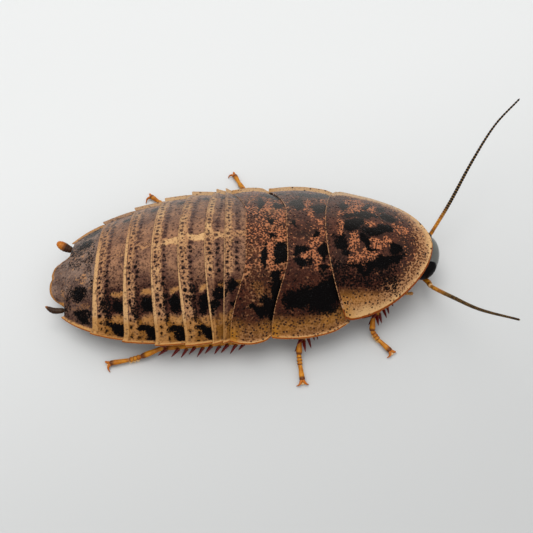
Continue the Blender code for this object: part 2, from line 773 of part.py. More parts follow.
def build_leg(name, places):
    sizes = LEG_SIZES[name.split("_")[0]]
    side = 1.0 if name.endswith("left") else -1.0
    root, hip, knee, ankle, heel, ball, toe, *claws = [point(*place) for place in places]
    coxa = limb(root, hip, scaled(sizes["coxa"], 0.8, 1.0, 0.95, 0.6), 0.8, after=knee, sides=12)
    clip(coxa, Vector((0.0, 0.0, CHEST_Z - GAP)), UP)
    add_part(f"coxa_{name}", mesh_from(coxa, "coxa"), "leg")
    femur = limb(
        hip, knee, scaled(sizes["femur"], 0.7, 0.95, 1.0, 0.9, 0.7), 0.85,
        before=root, after=ankle, sides=12
    )
    add_part(f"femur_{name}", mesh_from(femur, "femur"), "leg")
    tibia = limb(
        knee, ankle, scaled(sizes["tibia"], 1.0, 1.0, 0.92, 0.9, 1.0), 0.9,
        before=hip, after=heel, sides=8
    )
    spines = tibia_spines(knee, ankle, heel, side, sizes)
    tibia = combine(tibia, spines, "UNION")
    add_part(f"tibia_{name}", mesh_from(tibia, "tibia"), "leg")
    build_tarsus(f"tarsus_{name}", knee, ankle, heel, ball, toe, claws)


def centre_on_base():
    """Move the origin to the middle of the base of the box round the whole animal."""
    bpy.context.view_layer.update()
    graph = bpy.context.evaluated_depsgraph_get()
    corners = []
    for part in PARTS.objects:
        shape = part.evaluated_get(graph)
        mesh = shape.to_mesh()
        corners += [vert.co.copy() for vert in mesh.vertices]
        shape.to_mesh_clear()
    low = Vector([min(corner[i] for corner in corners) for i in range(3)])
    high = Vector([max(corner[i] for corner in corners) for i in range(3)])
    base = Vector(((low.x + high.x) / 2.0, (low.y + high.y) / 2.0, low.z))
    for part in PARTS.objects:
        part.data.transform(Matrix.Translation(-base))


for leftover in list(bpy.data.objects):
    bpy.data.objects.remove(leftover, do_unlink=True)
PARTS = bpy.data.collections.new("dubia_roach_nymph")
bpy.context.scene.collection.children.link(PARTS)

build_pronotum()
build_trunk()
build_cerci()
build_head()
build_feelers()
for leg_name, leg_places in LEGS.items():
    build_leg(leg_name, leg_places)
centre_on_base()
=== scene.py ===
"""Dubia roach nymph as a still, life-size museum model.

The file is laid out as an add-on and is run as a script. Shapes are worked out in millimetres in
the body's own frame, where the head points along X, the left side is +Y and the feet stand at
Z = 0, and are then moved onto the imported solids.
"""
import math
from functools import reduce

import bpy
import numpy as np
from bpy.props import FloatProperty, FloatVectorProperty, IntProperty, PointerProperty
from mathutils import Matrix, Vector


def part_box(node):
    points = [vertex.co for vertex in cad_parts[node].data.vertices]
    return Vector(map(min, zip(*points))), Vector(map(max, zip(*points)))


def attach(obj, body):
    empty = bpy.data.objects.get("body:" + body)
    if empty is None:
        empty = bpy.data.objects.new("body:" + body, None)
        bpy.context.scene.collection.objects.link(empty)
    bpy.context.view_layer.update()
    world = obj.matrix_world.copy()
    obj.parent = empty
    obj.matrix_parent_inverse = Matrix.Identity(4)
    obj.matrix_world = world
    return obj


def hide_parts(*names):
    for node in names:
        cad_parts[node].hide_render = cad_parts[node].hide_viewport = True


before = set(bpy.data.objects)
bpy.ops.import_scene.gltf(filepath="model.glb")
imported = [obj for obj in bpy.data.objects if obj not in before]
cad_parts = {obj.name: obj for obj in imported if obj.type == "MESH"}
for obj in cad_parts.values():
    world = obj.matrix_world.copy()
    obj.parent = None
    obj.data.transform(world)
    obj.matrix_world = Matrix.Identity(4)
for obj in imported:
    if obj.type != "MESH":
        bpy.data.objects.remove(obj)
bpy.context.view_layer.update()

bl_info = {
    "name": "Dubia Roach Nymph",
    "version": (1, 0, 0),
    "blender": (4, 5, 0),
    "location": "3D View > Sidebar > Roach",
    "description": "Builds a still model of a dubia roach nymph over its solids",
    "category": "Object",
}

MM = 0.001
EYE_MIDDLE = 0.2

# Sizes of the body, in millimetres

FRONT = 19.0
TAIL = -19.0
HOOD_BASE = 10.0
MARGIN_HEIGHT = 3.1
MARGIN_SINK = 0.56
SINK_START = -5.0
BEND_AHEAD = 0.4
BEND_BEHIND = 1.88
WIDEST = -2.5
HALF_WIDTH = 9.2
BOW_AHEAD = 22.0
BOW_BEHIND = 16.95
HIGHEST = 1.0
FRONT_HEIGHT = 5.3
FRONT_RISE = 2.55
REAR_HEIGHT = 2.7
REAR_RISE = 5.15
REAR_FALL = 20.5
SHIELD_START = 10.2
SHIELD_LENGTH = 8.8
SHIELD_HALF = 7.72
SHIELD_MIDDLE = 13.0
SHIELD_HOLLOW = 1.73
SHIELD_MARGIN = 3.45
SHIELD_RISE = 1.85
BELLY_RIM = 0.45
BELLY_HEIGHT = 1.1
PAD_SWEEP = 1.7
FLANGE_LEFT = 0.62
FLANGE_RIGHT = 0.42
THINNEST = 0.02


def body_shift():
    """Where the body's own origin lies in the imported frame, in millimetres."""
    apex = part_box("pronotum")[1].x / MM
    eyes = [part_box(name) for name in ("eye_left", "eye_right")]
    middle = sum(low.y + high.y for low, high in eyes) / 4.0 / MM
    return np.array([apex - FRONT, middle - EYE_MIDDLE, 0.0])


SHIFT = body_shift()


def rgb(red, green, blue):
    """Linear colour from the usual 0 to 255 values."""
    shares = np.array([red, green, blue]) / 255.0
    linear = np.where(shares > 0.04045, ((shares + 0.055) / 1.055) ** 2.4, shares / 12.92)
    return tuple(float(value) for value in linear)


# Numbers over whole arrays

def held(value, high=1.0):
    """The value held above 0 and below high, or above 0 alone where high is None."""
    return np.clip(value, 0.0, high)


def most(*fields):
    """Highest of several arrays or numbers, place by place."""
    return reduce(np.maximum, fields)


def least(*fields):
    """Lowest of several arrays or numbers, place by place."""
    return reduce(np.minimum, fields)


def smooth(t):
    """Rises from 0 to 1 as t goes from 0 to 1, level at both ends."""
    t = held(t)
    return t * t * (3.0 - 2.0 * t)


def ramp(value, start, run):
    """0 where the value is at start, 1 where it is at start + run, smooth between and held outside."""
    return smooth((value - start) / run)


def hump(value, middle, width):
    """Bell curve: 1 at its middle and about a third at its width."""
    return np.exp(-((value - middle) / width) ** 2)


def bow(t, power=2):
    """Half an oval: 1 where t is 0, falling steeply to 0 where t is 1."""
    return np.sqrt(held(1.0 - t ** power))


def lattice(i, j, seed):
    """A repeatable value from 0 to 1 for each whole-numbered place, by mixing its bits."""
    n = (i * 73856093) ^ (j * 19349663) ^ (seed * 83492791)
    n = (n ^ (n >> 13)) * 1274126177
    n = (n ^ (n >> 16)) & 0xFFFFFF
    return n / float(0xFFFFFF)


def noise(x, y, size, seed):
    """Smooth random values from 0 to 1 with features of a given size."""
    u = x / size
    v = y / size
    i = np.floor(u).astype(np.int64)
    j = np.floor(v).astype(np.int64)
    p = smooth(u - i)
    q = smooth(v - j)
    low = lattice(i, j, seed) * (1.0 - p) + lattice(i + 1, j, seed) * p
    high = lattice(i, j + 1, seed) * (1.0 - p) + lattice(i + 1, j + 1, seed) * p
    return low * (1.0 - q) + high * q


def rough(x, y, size, seed):
    """Three noises added, each half the size and half the strength of the one before."""
    total = noise(x, y, size, seed) + 0.5 * noise(x, y, size / 2, seed + 1)
    return (total + 0.25 * noise(x, y, size / 4, seed + 2)) / 1.75


def spots(x, y, places, grow=1.0):
    """Highest of several oval spots: 1.5 at a spot's middle, 0.5 on its outline and 0 outside.

    Each place gives the middle, the half length, the half width and the turn in degrees.
    """
    field = np.zeros_like(x)
    for middle_x, middle_y, length, width, turn in places:
        c = math.cos(math.radians(turn))
        s = math.sin(math.radians(turn))
        u = ((x - middle_x) * c + (y - middle_y) * s) / length
        v = ((y - middle_y) * c - (x - middle_x) * s) / width
        field = most(field, 1.5 - np.sqrt(u * u + v * v) / grow)
    return field


# Lines of the body, in millimetres

def bend(x):
    """Sideways place of the axis, a power curve that leans to the right toward the tail."""
    behind = BEND_AHEAD - BEND_BEHIND * (held(HOOD_BASE - x, None) / (HOOD_BASE - TAIL)) ** 1.6
    ahead = BEND_AHEAD * (1.0 - ((x - HOOD_BASE) / (FRONT - HOOD_BASE)) ** 2)
    return np.where(x < HOOD_BASE, behind, ahead)


def half_width(x):
    """Half width of the body, a cubic bow ahead of its widest place and an ellipse behind it."""
    ahead = x > WIDEST
    t = np.abs(x - WIDEST) / np.where(ahead, BOW_AHEAD, BOW_BEHIND)
    return HALF_WIDTH * bow(t, np.where(ahead, 3.0, 2.0))


def margin_z(x):
    """Height of the margin: level, then sinking from the middle of the abdomen on."""
    return MARGIN_HEIGHT - MARGIN_SINK * (held(SINK_START - x, None) / (SINK_START - TAIL)) ** 1.5


def back_z(x):
    """Height of the back along the axis, falling away to the front and to the tail."""
    ahead = FRONT_HEIGHT + FRONT_RISE * (1.0 - held((x - HIGHEST) / (FRONT - HIGHEST)) ** 2) ** 0.7
    behind = REAR_HEIGHT + REAR_RISE * (1.0 - held((HIGHEST - x) / REAR_FALL) ** 2.9) ** 1.45
    return np.where(x > HIGHEST, ahead, behind)


def dome(low, high, across):
    """Rounded back: a flat-topped bow from the margin's height to the axis's."""
    share = held(np.abs(across))
    return low + (high - low) * (1.0 - share ** 2.1) ** 0.9


def belly_z(x, across):
    """Underside of the abdomen, a full bow below the margin that rises to both ends."""
    rim = margin_z(x) - BELLY_RIM
    low = BELLY_HEIGHT + 2.2 * ramp(x, -8.0, 3.8) + ramp(x, -12.0, -7.0)
    inside = held(1.0 - (np.abs(across) / 0.86) ** 3, None)
    return rim + (low - rim) * inside ** 0.8


def shield_half_width(x):
    """Half width of the pronotum, a blunt bow from its hind corners to its apex."""
    t = held((x - SHIELD_START) / SHIELD_LENGTH)
    return SHIELD_HALF * (1.0 - t ** 1.6) ** (1.0 / 1.8)


def shield_hind(y):
    """Hind edge of the pronotum, bowed back at its middle."""
    return SHIELD_START - SHIELD_HOLLOW * (1.0 - held(np.abs(y) / SHIELD_HALF) ** 2) ** 0.87


def shield_margin(x):
    """Height of the pronotum's margin, which rises toward the head."""
    return SHIELD_MARGIN + SHIELD_RISE * held((x - HOOD_BASE) / (FRONT - HOOD_BASE), None) ** 2


# Building meshes

def grid_faces(rows, columns, around=False):
    """Corner numbers of the squares of a grid, closed round its columns if asked."""
    i, j = np.meshgrid(np.arange(rows - 1), np.arange(columns if around else columns - 1), indexing="ij")
    k = (j + 1) % columns
    corners = [i * columns + j, i * columns + k, (i + 1) * columns + k, (i + 1) * columns + j]
    return np.stack([c.ravel() for c in corners], axis=1)


class Form:
    """Points, faces and marks of a piece, gathered from several closed surfaces."""

    def __init__(self):
        self.points = []
        self.marks = []
        self.quads = []
        self.triangles = []
        self.count = 0

    def add(self, points, quads, triangles, marks):
        """Take in one surface, its faces numbered after those of the ones before."""
        self.points.append(points)
        self.marks.append(marks)
        self.quads.append(quads + self.count)
        self.triangles.append(triangles + self.count)
        self.count += len(points)

    def finish(self, name, paint, slot, *nodes):
        """Write the mesh, with its marks as an attribute, and put it in place of its solids."""
        points = (np.concatenate(self.points) + SHIFT) * MM
        quads = np.concatenate(self.quads)
        triangles = np.concatenate(self.triangles)
        corners = np.concatenate([quads.ravel(), triangles.ravel()]).astype(np.int32)
        sizes = np.concatenate([np.full(len(quads), 4), np.full(len(triangles), 3)]).astype(np.int32)
        starts = (np.cumsum(sizes) - sizes).astype(np.int32)
        mesh = bpy.data.meshes.new(name)
        mesh.vertices.add(len(points))
        mesh.vertices.foreach_set("co", points.astype(np.float32).ravel())
        mesh.loops.add(len(corners))
        mesh.loops.foreach_set("vertex_index", corners)
        mesh.polygons.add(len(sizes))
        mesh.polygons.foreach_set("loop_start", starts)
        mesh.polygons.foreach_set("loop_total", sizes)
        mesh.update(calc_edges=True)
        mesh.validate()
        mesh.shade_smooth()
        marks = mesh.attributes.new("marks", "FLOAT_COLOR", "POINT")
        marks.data.foreach_set("color", np.concatenate(self.marks).astype(np.float32).ravel())
        mesh.materials.append(paint)
        piece = bpy.data.objects.new(name, mesh)
        bpy.context.scene.collection.objects.link(piece)
        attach(piece, "root")
        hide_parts(*nodes)
        return piece


def sheet(form, top, under, marks, under_marks):
    """Closed thin shell from a top and an underside on one grid, which meet along its border."""
    rows, columns = top.shape[:2]
    marks, under_marks = [np.broadcast_to(each, (rows, columns, 4)) for each in (marks, under_marks)]
    number = np.arange(rows * columns).reshape(rows, columns)
    below = number.copy()
    inner = (rows - 2) * (columns - 2)
    below[1:-1, 1:-1] = rows * columns + np.arange(inner).reshape(rows - 2, columns - 2)
    upper_faces = grid_faces(rows, columns)
    lower_faces = below.ravel()[upper_faces][:, ::-1]
    points = np.concatenate([top.reshape(-1, 3), under[1:-1, 1:-1].reshape(-1, 3)])
    paint = np.concatenate([marks.reshape(-1, 4), under_marks[1:-1, 1:-1].reshape(-1, 4)])
    form.add(points, np.concatenate([upper_faces, lower_faces]), np.zeros((0, 3), int), paint)


def hanging_sheet(form, low, rise, marks):
    """Closed thin shell that faces down, with its upper side a rise above its lower one."""
    high = low.copy()
    high[..., 2] += rise
    flip = slice(None, None, -1)
    sheet(form, low[:, flip], high[:, flip], marks[:, flip], marks[:, flip])


def unit(vectors):
    """The same directions, each with a length of 1."""
    return vectors / np.linalg.norm(vectors, axis=-1, keepdims=True)


def sweep(form, path, wide, deep, marks, guide=(0.0, 0.0, 1.0), sides=20, behind=None):
    """Closed tube of oval section carried along a path.

    A ring's point is the path's point plus the cosine of its angle times the half width along the
    side axis plus the sine times the half depth along the upper axis. behind gives another half
    depth for the lower half of the ring.
    """
    path = np.asarray(path, float)
    tangent = unit(np.gradient(path, axis=0))
    side = unit(np.cross(tangent, np.asarray(guide, float)))
    upper = np.cross(side, tangent) * -1.0
    angle = np.arange(sides) * math.tau / sides
    depth = np.broadcast_to(np.asarray(deep, float), (len(path),))[:, None]
    if behind is not None:
        lower = np.broadcast_to(np.asarray(behind, float), (len(path),))[:, None]
        depth = np.where(np.sin(angle)[None, :] < 0.0, lower, depth)
    width = np.broadcast_to(np.asarray(wide, float), (len(path),))[:, None]
    rings = path[:, None, :] + side[:, None, :] * (np.cos(angle) * width)[..., None]
    rings = rings + upper[:, None, :] * (np.sin(angle) * depth)[..., None]
    count = len(path) * sides
    points = np.concatenate([rings.reshape(-1, 3), path[:1], path[-1:]])
    ring = np.arange(sides)
    following = (ring + 1) % sides
    last = count - sides
    start = np.stack([np.full(sides, count), following, ring], axis=1)
    end = np.stack([np.full(sides, count + 1), last + ring, last + following], axis=1)
    marks = np.broadcast_to(np.asarray(marks, float), (len(path), 4))
    paint = np.concatenate([np.repeat(marks, sides, axis=0), marks[:1], marks[-1:]])
    form.add(points, grid_faces(len(path), sides, True), np.concatenate([start, end]), paint)


def curve_through(places, count):
    """Even points of a Catmull-Rom curve through the given places."""
    places = np.asarray(places, float)
    ends = np.concatenate([2 * places[:1] - places[1:2], places, 2 * places[-1:] - places[-2:-1]])
    t = np.linspace(0.0, len(places) - 1, count)
    k = least(t.astype(int), len(places) - 2)
    t = (t - k)[:, None]
    a, b, c, d = ends[k], ends[k + 1], ends[k + 2], ends[k + 3]
    return 0.5 * (2 * b + (c - a) * t + (2 * a - 5 * b + 4 * c - d) * t ** 2
                  + (3 * b - 3 * c + d - a) * t ** 3)


def table(stops, values, at):
    """Smooth curve through a few values, level at each of them."""
    stops = np.asarray(stops, float)
    values = np.asarray(values, float)
    k = np.clip(np.searchsorted(stops, at, side="right") - 1, 0, len(stops) - 2)
    share = ramp(at, stops[k], stops[k + 1] - stops[k])
    return values[k] + (values[k + 1] - values[k]) * share


def round_ends(count, blunt):
    """Places from 0 to 1, close together at both ends, and the radius there of a blunt capsule."""
    t = 0.5 - 0.5 * np.cos(np.linspace(0.0, math.pi, count))
    return t, held(1.0 - np.abs(2.0 * t - 1.0) ** (2.0 / blunt)) ** 0.5


PROFILES = {
    "even": ((0.0, 1.0), (1.0, 1.0)),
    "palp": ((0.0, 0.7, 1.0), (0.75, 1.0, 0.9)),
    "coxa": ((0.0, 0.35, 0.8, 1.0), (0.8, 1.0, 0.85, 0.55)),
    "femur": ((0.0, 0.35, 0.75, 1.0), (0.75, 1.0, 0.9, 0.62)),
    "tibia": ((0.0, 0.12, 0.3, 0.8, 1.0), (0.8, 1.0, 0.86, 0.88, 1.08)),
    "toe": ((0.0, 0.25, 0.8, 1.0), (0.72, 0.76, 1.0, 1.05)),
    "last_toe": ((0.0, 0.25, 0.8, 1.0), (0.72, 0.76, 1.0, 1.28)),
}


def capsule(form, start, end, wide, deep, marks, profile=PROFILES["even"], blunt=0.35, rows=24, sides=16,
            guide=(0.0, 0.0, 1.0)):
    """Round-ended limb between two places, its thickness following a profile of places and shares."""
    t, cap = round_ends(rows, blunt)
    start = np.asarray(start, float)
    path = start + (np.asarray(end, float) - start) * t[:, None]
    cap = most(cap, THINNEST) * table(*profile, t)
    marks = marks(t) if callable(marks) else marks
    sweep(form, path, wide * cap, deep * cap, marks, guide, sides)


def row_marks(dark, rust=0.0, pale=0.0, amber=0.0):
    """Four marks side by side, each a number or an array of one shape."""
    return np.stack(np.broadcast_arrays(dark, rust, pale, amber), axis=-1).astype(float)


# Materials

class Value:
    """A socket of a node tree that can be reckoned with like a number."""

    def __init__(self, paint, socket):
        self.paint = paint
        self.socket = socket

    def maths(self, operation, *values):
        """A new node for one operation on the given values."""
        return self.paint.node("ShaderNodeMath", {"operation": operation}, dict(enumerate(values)))

    def __add__(self, other):
        return self.maths("ADD", self, other)

    __radd__ = __add__

    def __sub__(self, other):
        return self.maths("SUBTRACT", self, other)

    def __rsub__(self, other):
        return self.maths("SUBTRACT", other, self)

    def __mul__(self, other):
        return self.maths("MULTIPLY", self, other)

    __rmul__ = __mul__

    def between(self, low, high):
        """0 below low, 1 above high and smooth in between; the other way round if low is higher."""
        rising = low < high
        inputs = {0: self, 1: min(low, high), 2: max(low, high), 3: 1.0 - rising, 4: float(rising)}
        return self.paint.node("ShaderNodeMapRange", {"interpolation_type": "SMOOTHSTEP"}, inputs)


class Paint:
    """A new material with its shader, and the nodes that feed it."""

    def __init__(self, name, look, **shader):
        self.look = look
        self.material = bpy.data.materials.new(name)
        self.material.use_nodes = True
        self.tree = self.material.node_tree
        self.shader = self.tree.nodes["Principled BSDF"]
        for socket, value in shader.items():
            self.shader.inputs[socket.replace("_", " ")].default_value = value
        position = self.node("ShaderNodeTexCoord", {}, {}, "Object")
        inputs = {0: position, "Scale": 1.0 / MM}
        self.place = self.node("ShaderNodeVectorMath", {"operation": "SCALE"}, inputs)

    def node(self, kind, settings, inputs, output=0):
        """Make a node, set it up, fill or link its sockets and give one of its outputs."""
        node = self.tree.nodes.new(kind)
        for name, value in settings.items():
            setattr(node, name, value)
        for name, value in inputs.items():
            if isinstance(value, Value):
                self.tree.links.new(value.socket, node.inputs[name])
            else:
                node.inputs[name].default_value = value
        return Value(self, node.outputs[output])

    def marks(self):
        """The four marks that a piece carries."""
        settings = {"attribute_name": "marks"}
        colour = self.node("ShaderNodeAttribute", settings, {}, "Color")
        parts = [self.part("Color", colour, name) for name in ("Red", "Green", "Blue")]
        return (*parts, self.node("ShaderNodeAttribute", settings, {}, "Alpha"))

    def part(self, kind, whole, name):
        """One channel of a colour, or one coordinate of a place."""
        return self.node(f"ShaderNodeSeparate{kind}", {}, {0: whole}, name)

    def noise(self, size, detail, roughness):
        """Noise from 0 to 1 with features of a size in millimetres."""
        inputs = {"Vector": self.place, "Scale": 1.0 / size, "Detail": detail, "Roughness": roughness}
        return self.node("ShaderNodeTexNoise", {}, inputs, "Fac")

    def cells(self, size, output="Distance", randomness=1.0):
        """Distance to the nearest of scattered points a size apart, in cells."""
        inputs = {"Vector": self.place, "Scale": 1.0 / size, "Randomness": randomness}
        return self.node("ShaderNodeTexVoronoi", {}, inputs, output)

    def mix(self, factor, first, second):
        """Second colour over the first one by a factor; a name stands for a colour of the look."""
        ends = [getattr(self.look, end) if isinstance(end, str) else end for end in (first, second)]
        first, second = [end if isinstance(end, Value) else (*end, 1.0) for end in ends]
        return self.node("ShaderNodeMix", {"data_type": "RGBA"}, {0: factor, 6: first, 7: second}, 2)

    def layers(self, colour, *layers):
        """A colour with others laid over it in turn, each given with its factor."""
        for factor, other in layers:
            colour = self.mix(factor, colour, other)
        return colour

    def finish(self, colour, roughness, height=None, depth=0.0):
        """Feed the shader; depth is the bump's full height in millimetres."""
        self.tree.links.new(colour.socket, self.shader.inputs["Base Color"])
        self.tree.links.new(roughness.socket, self.shader.inputs["Roughness"])
        if height is not None:
            inputs = {"Strength": 1.0, "Distance": depth * MM, "Height": height}
            bump = self.node("ShaderNodeBump", {}, inputs)
            self.tree.links.new(bump.socket, self.shader.inputs["Normal"])
        return self.material


def plate_paint(name, look, ground, between, second, netted, grain, punctures, puncture_size):
    """Cuticle of the back: brown, with rusty, pale, black and amber marks made of fine grains.

    ground names the pair of light and dark brown, between the brown among the pale grains. The
    marks are dark, second, pale and rim. The second mark takes the second colour, as a net round
    dark grains where netted is 1 and as soft dots where it is 0. A pale mark is a net too: the
    stronger the mark, the smaller are the dark grains that it leaves. Noise is added to each mark.
    The far half has a painted grey sheen, and the near flank a painted shade of deeper red-brown.
    """
    paint = Paint(name, look, IOR=1.5, Specular_IOR_Level=0.03, Coat_Roughness=0.22, Sheen_Weight=0.18,
                  Sheen_Roughness=0.3)
    dark, patch, pale, rim = paint.marks()
    coarse = paint.noise(0.55, 3.0, 0.6) - 0.5
    fine = paint.noise(0.15, 2.0, 0.6) - 0.5
    spread = paint.cells(grain)
    granules = spread.between(0.5, 0.2)
    broken = coarse * 0.8 + fine * 1.3
    dark = (dark + broken * 0.8 + (0.5 - spread) * 0.45).between(0.36, 0.74)
    patch = (patch + broken * 0.9).between(0.1, 0.75)
    net = (spread + patch * 0.5 - 1.0).between(-0.18, 0.22)
    patch = net * netted + patch * (0.85 - 0.85 * netted)
    stipple = (spread + (pale + coarse * 0.5 + fine * 0.5) * 0.87 - 0.97).between(-0.2, 0.22)
    stipple = stipple + (pale - stipple) * rim.between(0.05, 0.4) * 0.4
    scattered = paint.cells(puncture_size)
    chance = paint.part("Color", paint.cells(puncture_size, "Color"), "Red")
    chance = chance - pale * 0.5 + rim.between(0.1, 0.5) * 0.3
    pits = scattered.between(0.4, 0.26) * chance.between(0.2, 0.32) * punctures
    mottle = paint.noise(1.3, 3.0, 0.6).between(0.3, 0.7)
    banded = pale.between(0.1, 0.6)
    brown = paint.layers(ground + "_light", (mottle, ground + "_dark"), (banded * 0.85, between))
    light = paint.mix((pale + fine * 0.3).between(0.68, 0.98), "tan", "cream")
    light = paint.mix((fine + coarse * 0.6).between(0.0, 0.5) * 0.35, light, "umber")
    across = paint.part("XYZ", paint.place, "Y")
    clear = 1.0 - dark
    colour = paint.layers(
        brown,
        (stipple, light),
        (granules * 0.4 * (1.0 - stipple), "puncture"),
        (patch, second),
        # painted shade: deeper red-brown over the near flank, which faces away from the light
        (across.between(-2.5, -6.0) * (1.0 - banded) * 0.6, "deep"),
        (dark, "black"),
        # painted sheen: grey reflection laid over the far half of the back
        (across.between(-1.0, 5.0) * 0.32, "painted_sheen"),
        (pits * clear, "puncture"),
        (rim.between(0.1, 0.9) * (1.0 - pits) * clear, "amber"),
        (rim.between(0.85, 0.97), "rim"),
    )
    glint = (fine + coarse * 0.3).between(0.15, 0.32) * 0.45
    paint.tree.links.new(glint.socket, paint.shader.inputs["Coat Weight"])
    height = granules * 0.6 * (1.0 - pale.between(0.4, 1.0) * 0.7) - pits * 0.7 + fine * 0.5
    return paint.finish(colour, 0.4 + fine * 0.25 + stipple * 0.08, height, 0.045)


# Ground, brown among pale grains, second colour, net or dots, size of a grain, share and size of pits
FINISHES = {
    "pronotum_cuticle": ("front", "umber", "rust", 1.0, 0.185, 0.95, 0.3),
    "thorax_cuticle": ("front", "umber", "rust", 1.0, 0.2, 0.9, 0.32),
    "abdomen_cuticle": ("rear", "between", "plum", 0.0, 0.2, 0.6, 0.38),
    "tail_cuticle": ("tail", "between", "tan", 1.0, 0.2, 0.6, 0.4),
}


def limb_paint(name, look, dark):
    """Glossy amber leg skin. The marks are spine, joint ring, pale skin and claw."""
    paint = Paint(name, look, IOR=1.5, Specular_IOR_Level=0.12, Coat_Weight=0.06, Coat_Roughness=0.15)
    spine, ring, pale, claw = paint.marks()
    mottle = paint.noise(0.8, 3.0, 0.6)
    colour = paint.layers("amber", (mottle.between(0.3, 0.7), "honey"), (pale, "membrane"),
                          (ring * (0.6 + mottle * 0.6), "ring"), (spine, dark), (claw, "claw"))
    roughness = 0.28 + paint.noise(0.3, 2.0, 0.5) * 0.14
    return paint.finish(colour, roughness, paint.noise(0.12, 2.0, 0.5), 0.012)


def feeler_paint(name, look):
    """Antenna: amber at the root, then near black with fine pale rings.

    The marks are darkening toward the tip, ring, pale joint and nothing.
    """
    paint = Paint(name, look, IOR=1.5, Specular_IOR_Level=0.1)
    dark, ring, pale, _ = paint.marks()
    mottle = paint.noise(0.25, 2.0, 0.5)
    colour = paint.layers("amber", (mottle.between(0.35, 0.65), "honey"), (dark, "feeler"),
                          (ring * (0.5 + mottle * 0.5), "feeler_ring"), (pale, "membrane"))
    return paint.finish(colour, 0.34 + mottle * 0.2, mottle, 0.01)


def head_paint(name, look):
    """Glossy black-brown head capsule. The marks are amber face, pale spot and crown, a painted grey
    reflection of the sky on the top of the head.
    """
    paint = Paint(name, look, IOR=1.52, Coat_Weight=0.5, Coat_Roughness=0.05)
    amber, spot, crown, _ = paint.marks()
    mottle = paint.noise(0.5, 3.0, 0.55)
    face = (amber + (mottle - 0.5) * 0.4).between(0.3, 0.7)
    # The crown colour is a painted reflection: grey sky reflected on the top of the head
    colour = paint.layers("head", (mottle.between(0.35, 0.75) * 0.5, "head_brown"), (crown, "crown"),
                          (face, "honey"), (spot, "membrane"))
    return paint.finish(colour, 0.16 + mottle * 0.1, paint.noise(0.07, 2.0, 0.5), 0.004)


def eye_paint(name, look):
    """Black eye of tiny facets, red-brown at its rim."""
    paint = Paint(name, look, IOR=1.5, Specular_IOR_Level=0.05)
    rim, _, _, _ = paint.marks()
    facets = paint.cells(0.045, "Distance", 0.25)
    colour = paint.mix(rim, "eye", "eye_rim")
    return paint.finish(colour, 0.22 + facets * 0.2, 1.0 - facets, 0.005)


def belly_paint(name, look):
    """Underside plates: tan to brown, mottled, with dark flecks. The marks are dark, rust, pale, rim."""
    paint = Paint(name, look, IOR=1.5)
    dark, _, pale, rim = paint.marks()
    mottle = paint.noise(1.3, 4.0, 0.6)
    flecks = paint.cells(0.5).between(0.3, 0.12) * 0.6
    shadow = (dark + (mottle - 0.5) * 0.8).between(0.4, 0.8)
    colour = paint.layers("belly", (mottle.between(0.3, 0.7), "belly_dark"), (shadow, "puncture"),
                          (pale, "tan"), (flecks, "puncture"), (rim.between(0.3, 0.9), "amber"))
    return paint.finish(colour, 0.34 + mottle * 0.12, paint.noise(0.15, 3.0, 0.5), 0.015)


# Properties

def colour_property(name, description, *values):
    """A colour given by its usual 0 to 255 values."""
    return FloatVectorProperty(name=name, description=description, default=rgb(*values), min=0.0, max=1.0,
                               subtype="COLOR")


def length_property(name, description, value):
    """A length given in millimetres."""
    return FloatProperty(name=name, description=description, default=value * MM, min=0.05 * MM,
                         subtype="DISTANCE", unit="LENGTH")


def power_property(name, description, value):
    """Power of a light, in watts."""
    return FloatProperty(name=name, description=description, default=value, min=0.0, unit="POWER")


class RoachShellLook(bpy.types.PropertyGroup):
    """Colours and thickness of the plates of the back and the belly."""
    front_light: colour_property("Front ground", "Lighter ground of the front plates", 82, 47, 35)
    front_dark: colour_property("Front dark ground", "Darker ground of the front plates", 45, 31, 26)
    rear_light: colour_property("Rear ground", "Lighter ground of the rings of the abdomen", 150, 108, 80)
    rear_dark: colour_property("Rear dark ground", "Darker ground of the rings of the abdomen", 98, 69, 56)
    tail_light: colour_property("Tail ground", "Lighter ground of the tail's plates", 128, 104, 90)
    tail_dark: colour_property("Tail dark ground", "Darker ground of the tail's plates", 90, 70, 61)
    plum: colour_property("Plum", "Dots of the abdomen", 60, 37, 33)
    black: colour_property("Black", "Large dark patches", 4, 2, 2)
    # Painted sheen: grey reflection of the light from behind, laid over the far half of the back
    painted_sheen: colour_property("Bloom", "Grey bloom of the far half of the back", 112, 106, 100)
    # Painted shade: deeper red-brown laid over the near flank of the back, which faces away from the light
    deep: colour_property("Deep", "Deeper red-brown of the near half of the back", 50, 14, 3)
    rust: colour_property("Rust", "Rusty net between the dark patches", 166, 102, 67)
    umber: colour_property("Umber", "Ground that shows between pale grains", 96, 54, 27)
    between: colour_property("Between grains", "Ground that shows in the bands of the abdomen", 104, 72, 56)
    tan: colour_property("Tan", "Pale grains and bands", 159, 115, 79)
    cream: colour_property("Cream", "Border and pale patches", 196, 154, 106)
    amber: colour_property("Amber", "Corners and margins", 156, 102, 32)
    rim: colour_property("Rim", "Thin line along the margins", 130, 60, 18)
    puncture: colour_property("Puncture", "Small dark pits", 42, 24, 20)
    belly: colour_property("Belly", "Light ground of the underside", 150, 104, 62)
    belly_dark: colour_property("Belly dark", "Dark ground of the underside", 96, 60, 36)
    thickness: length_property("Thickness", "Thickness of a plate", 0.2)
    overlap: length_property("Overlap", "How far a plate reaches under the one ahead", 0.6)


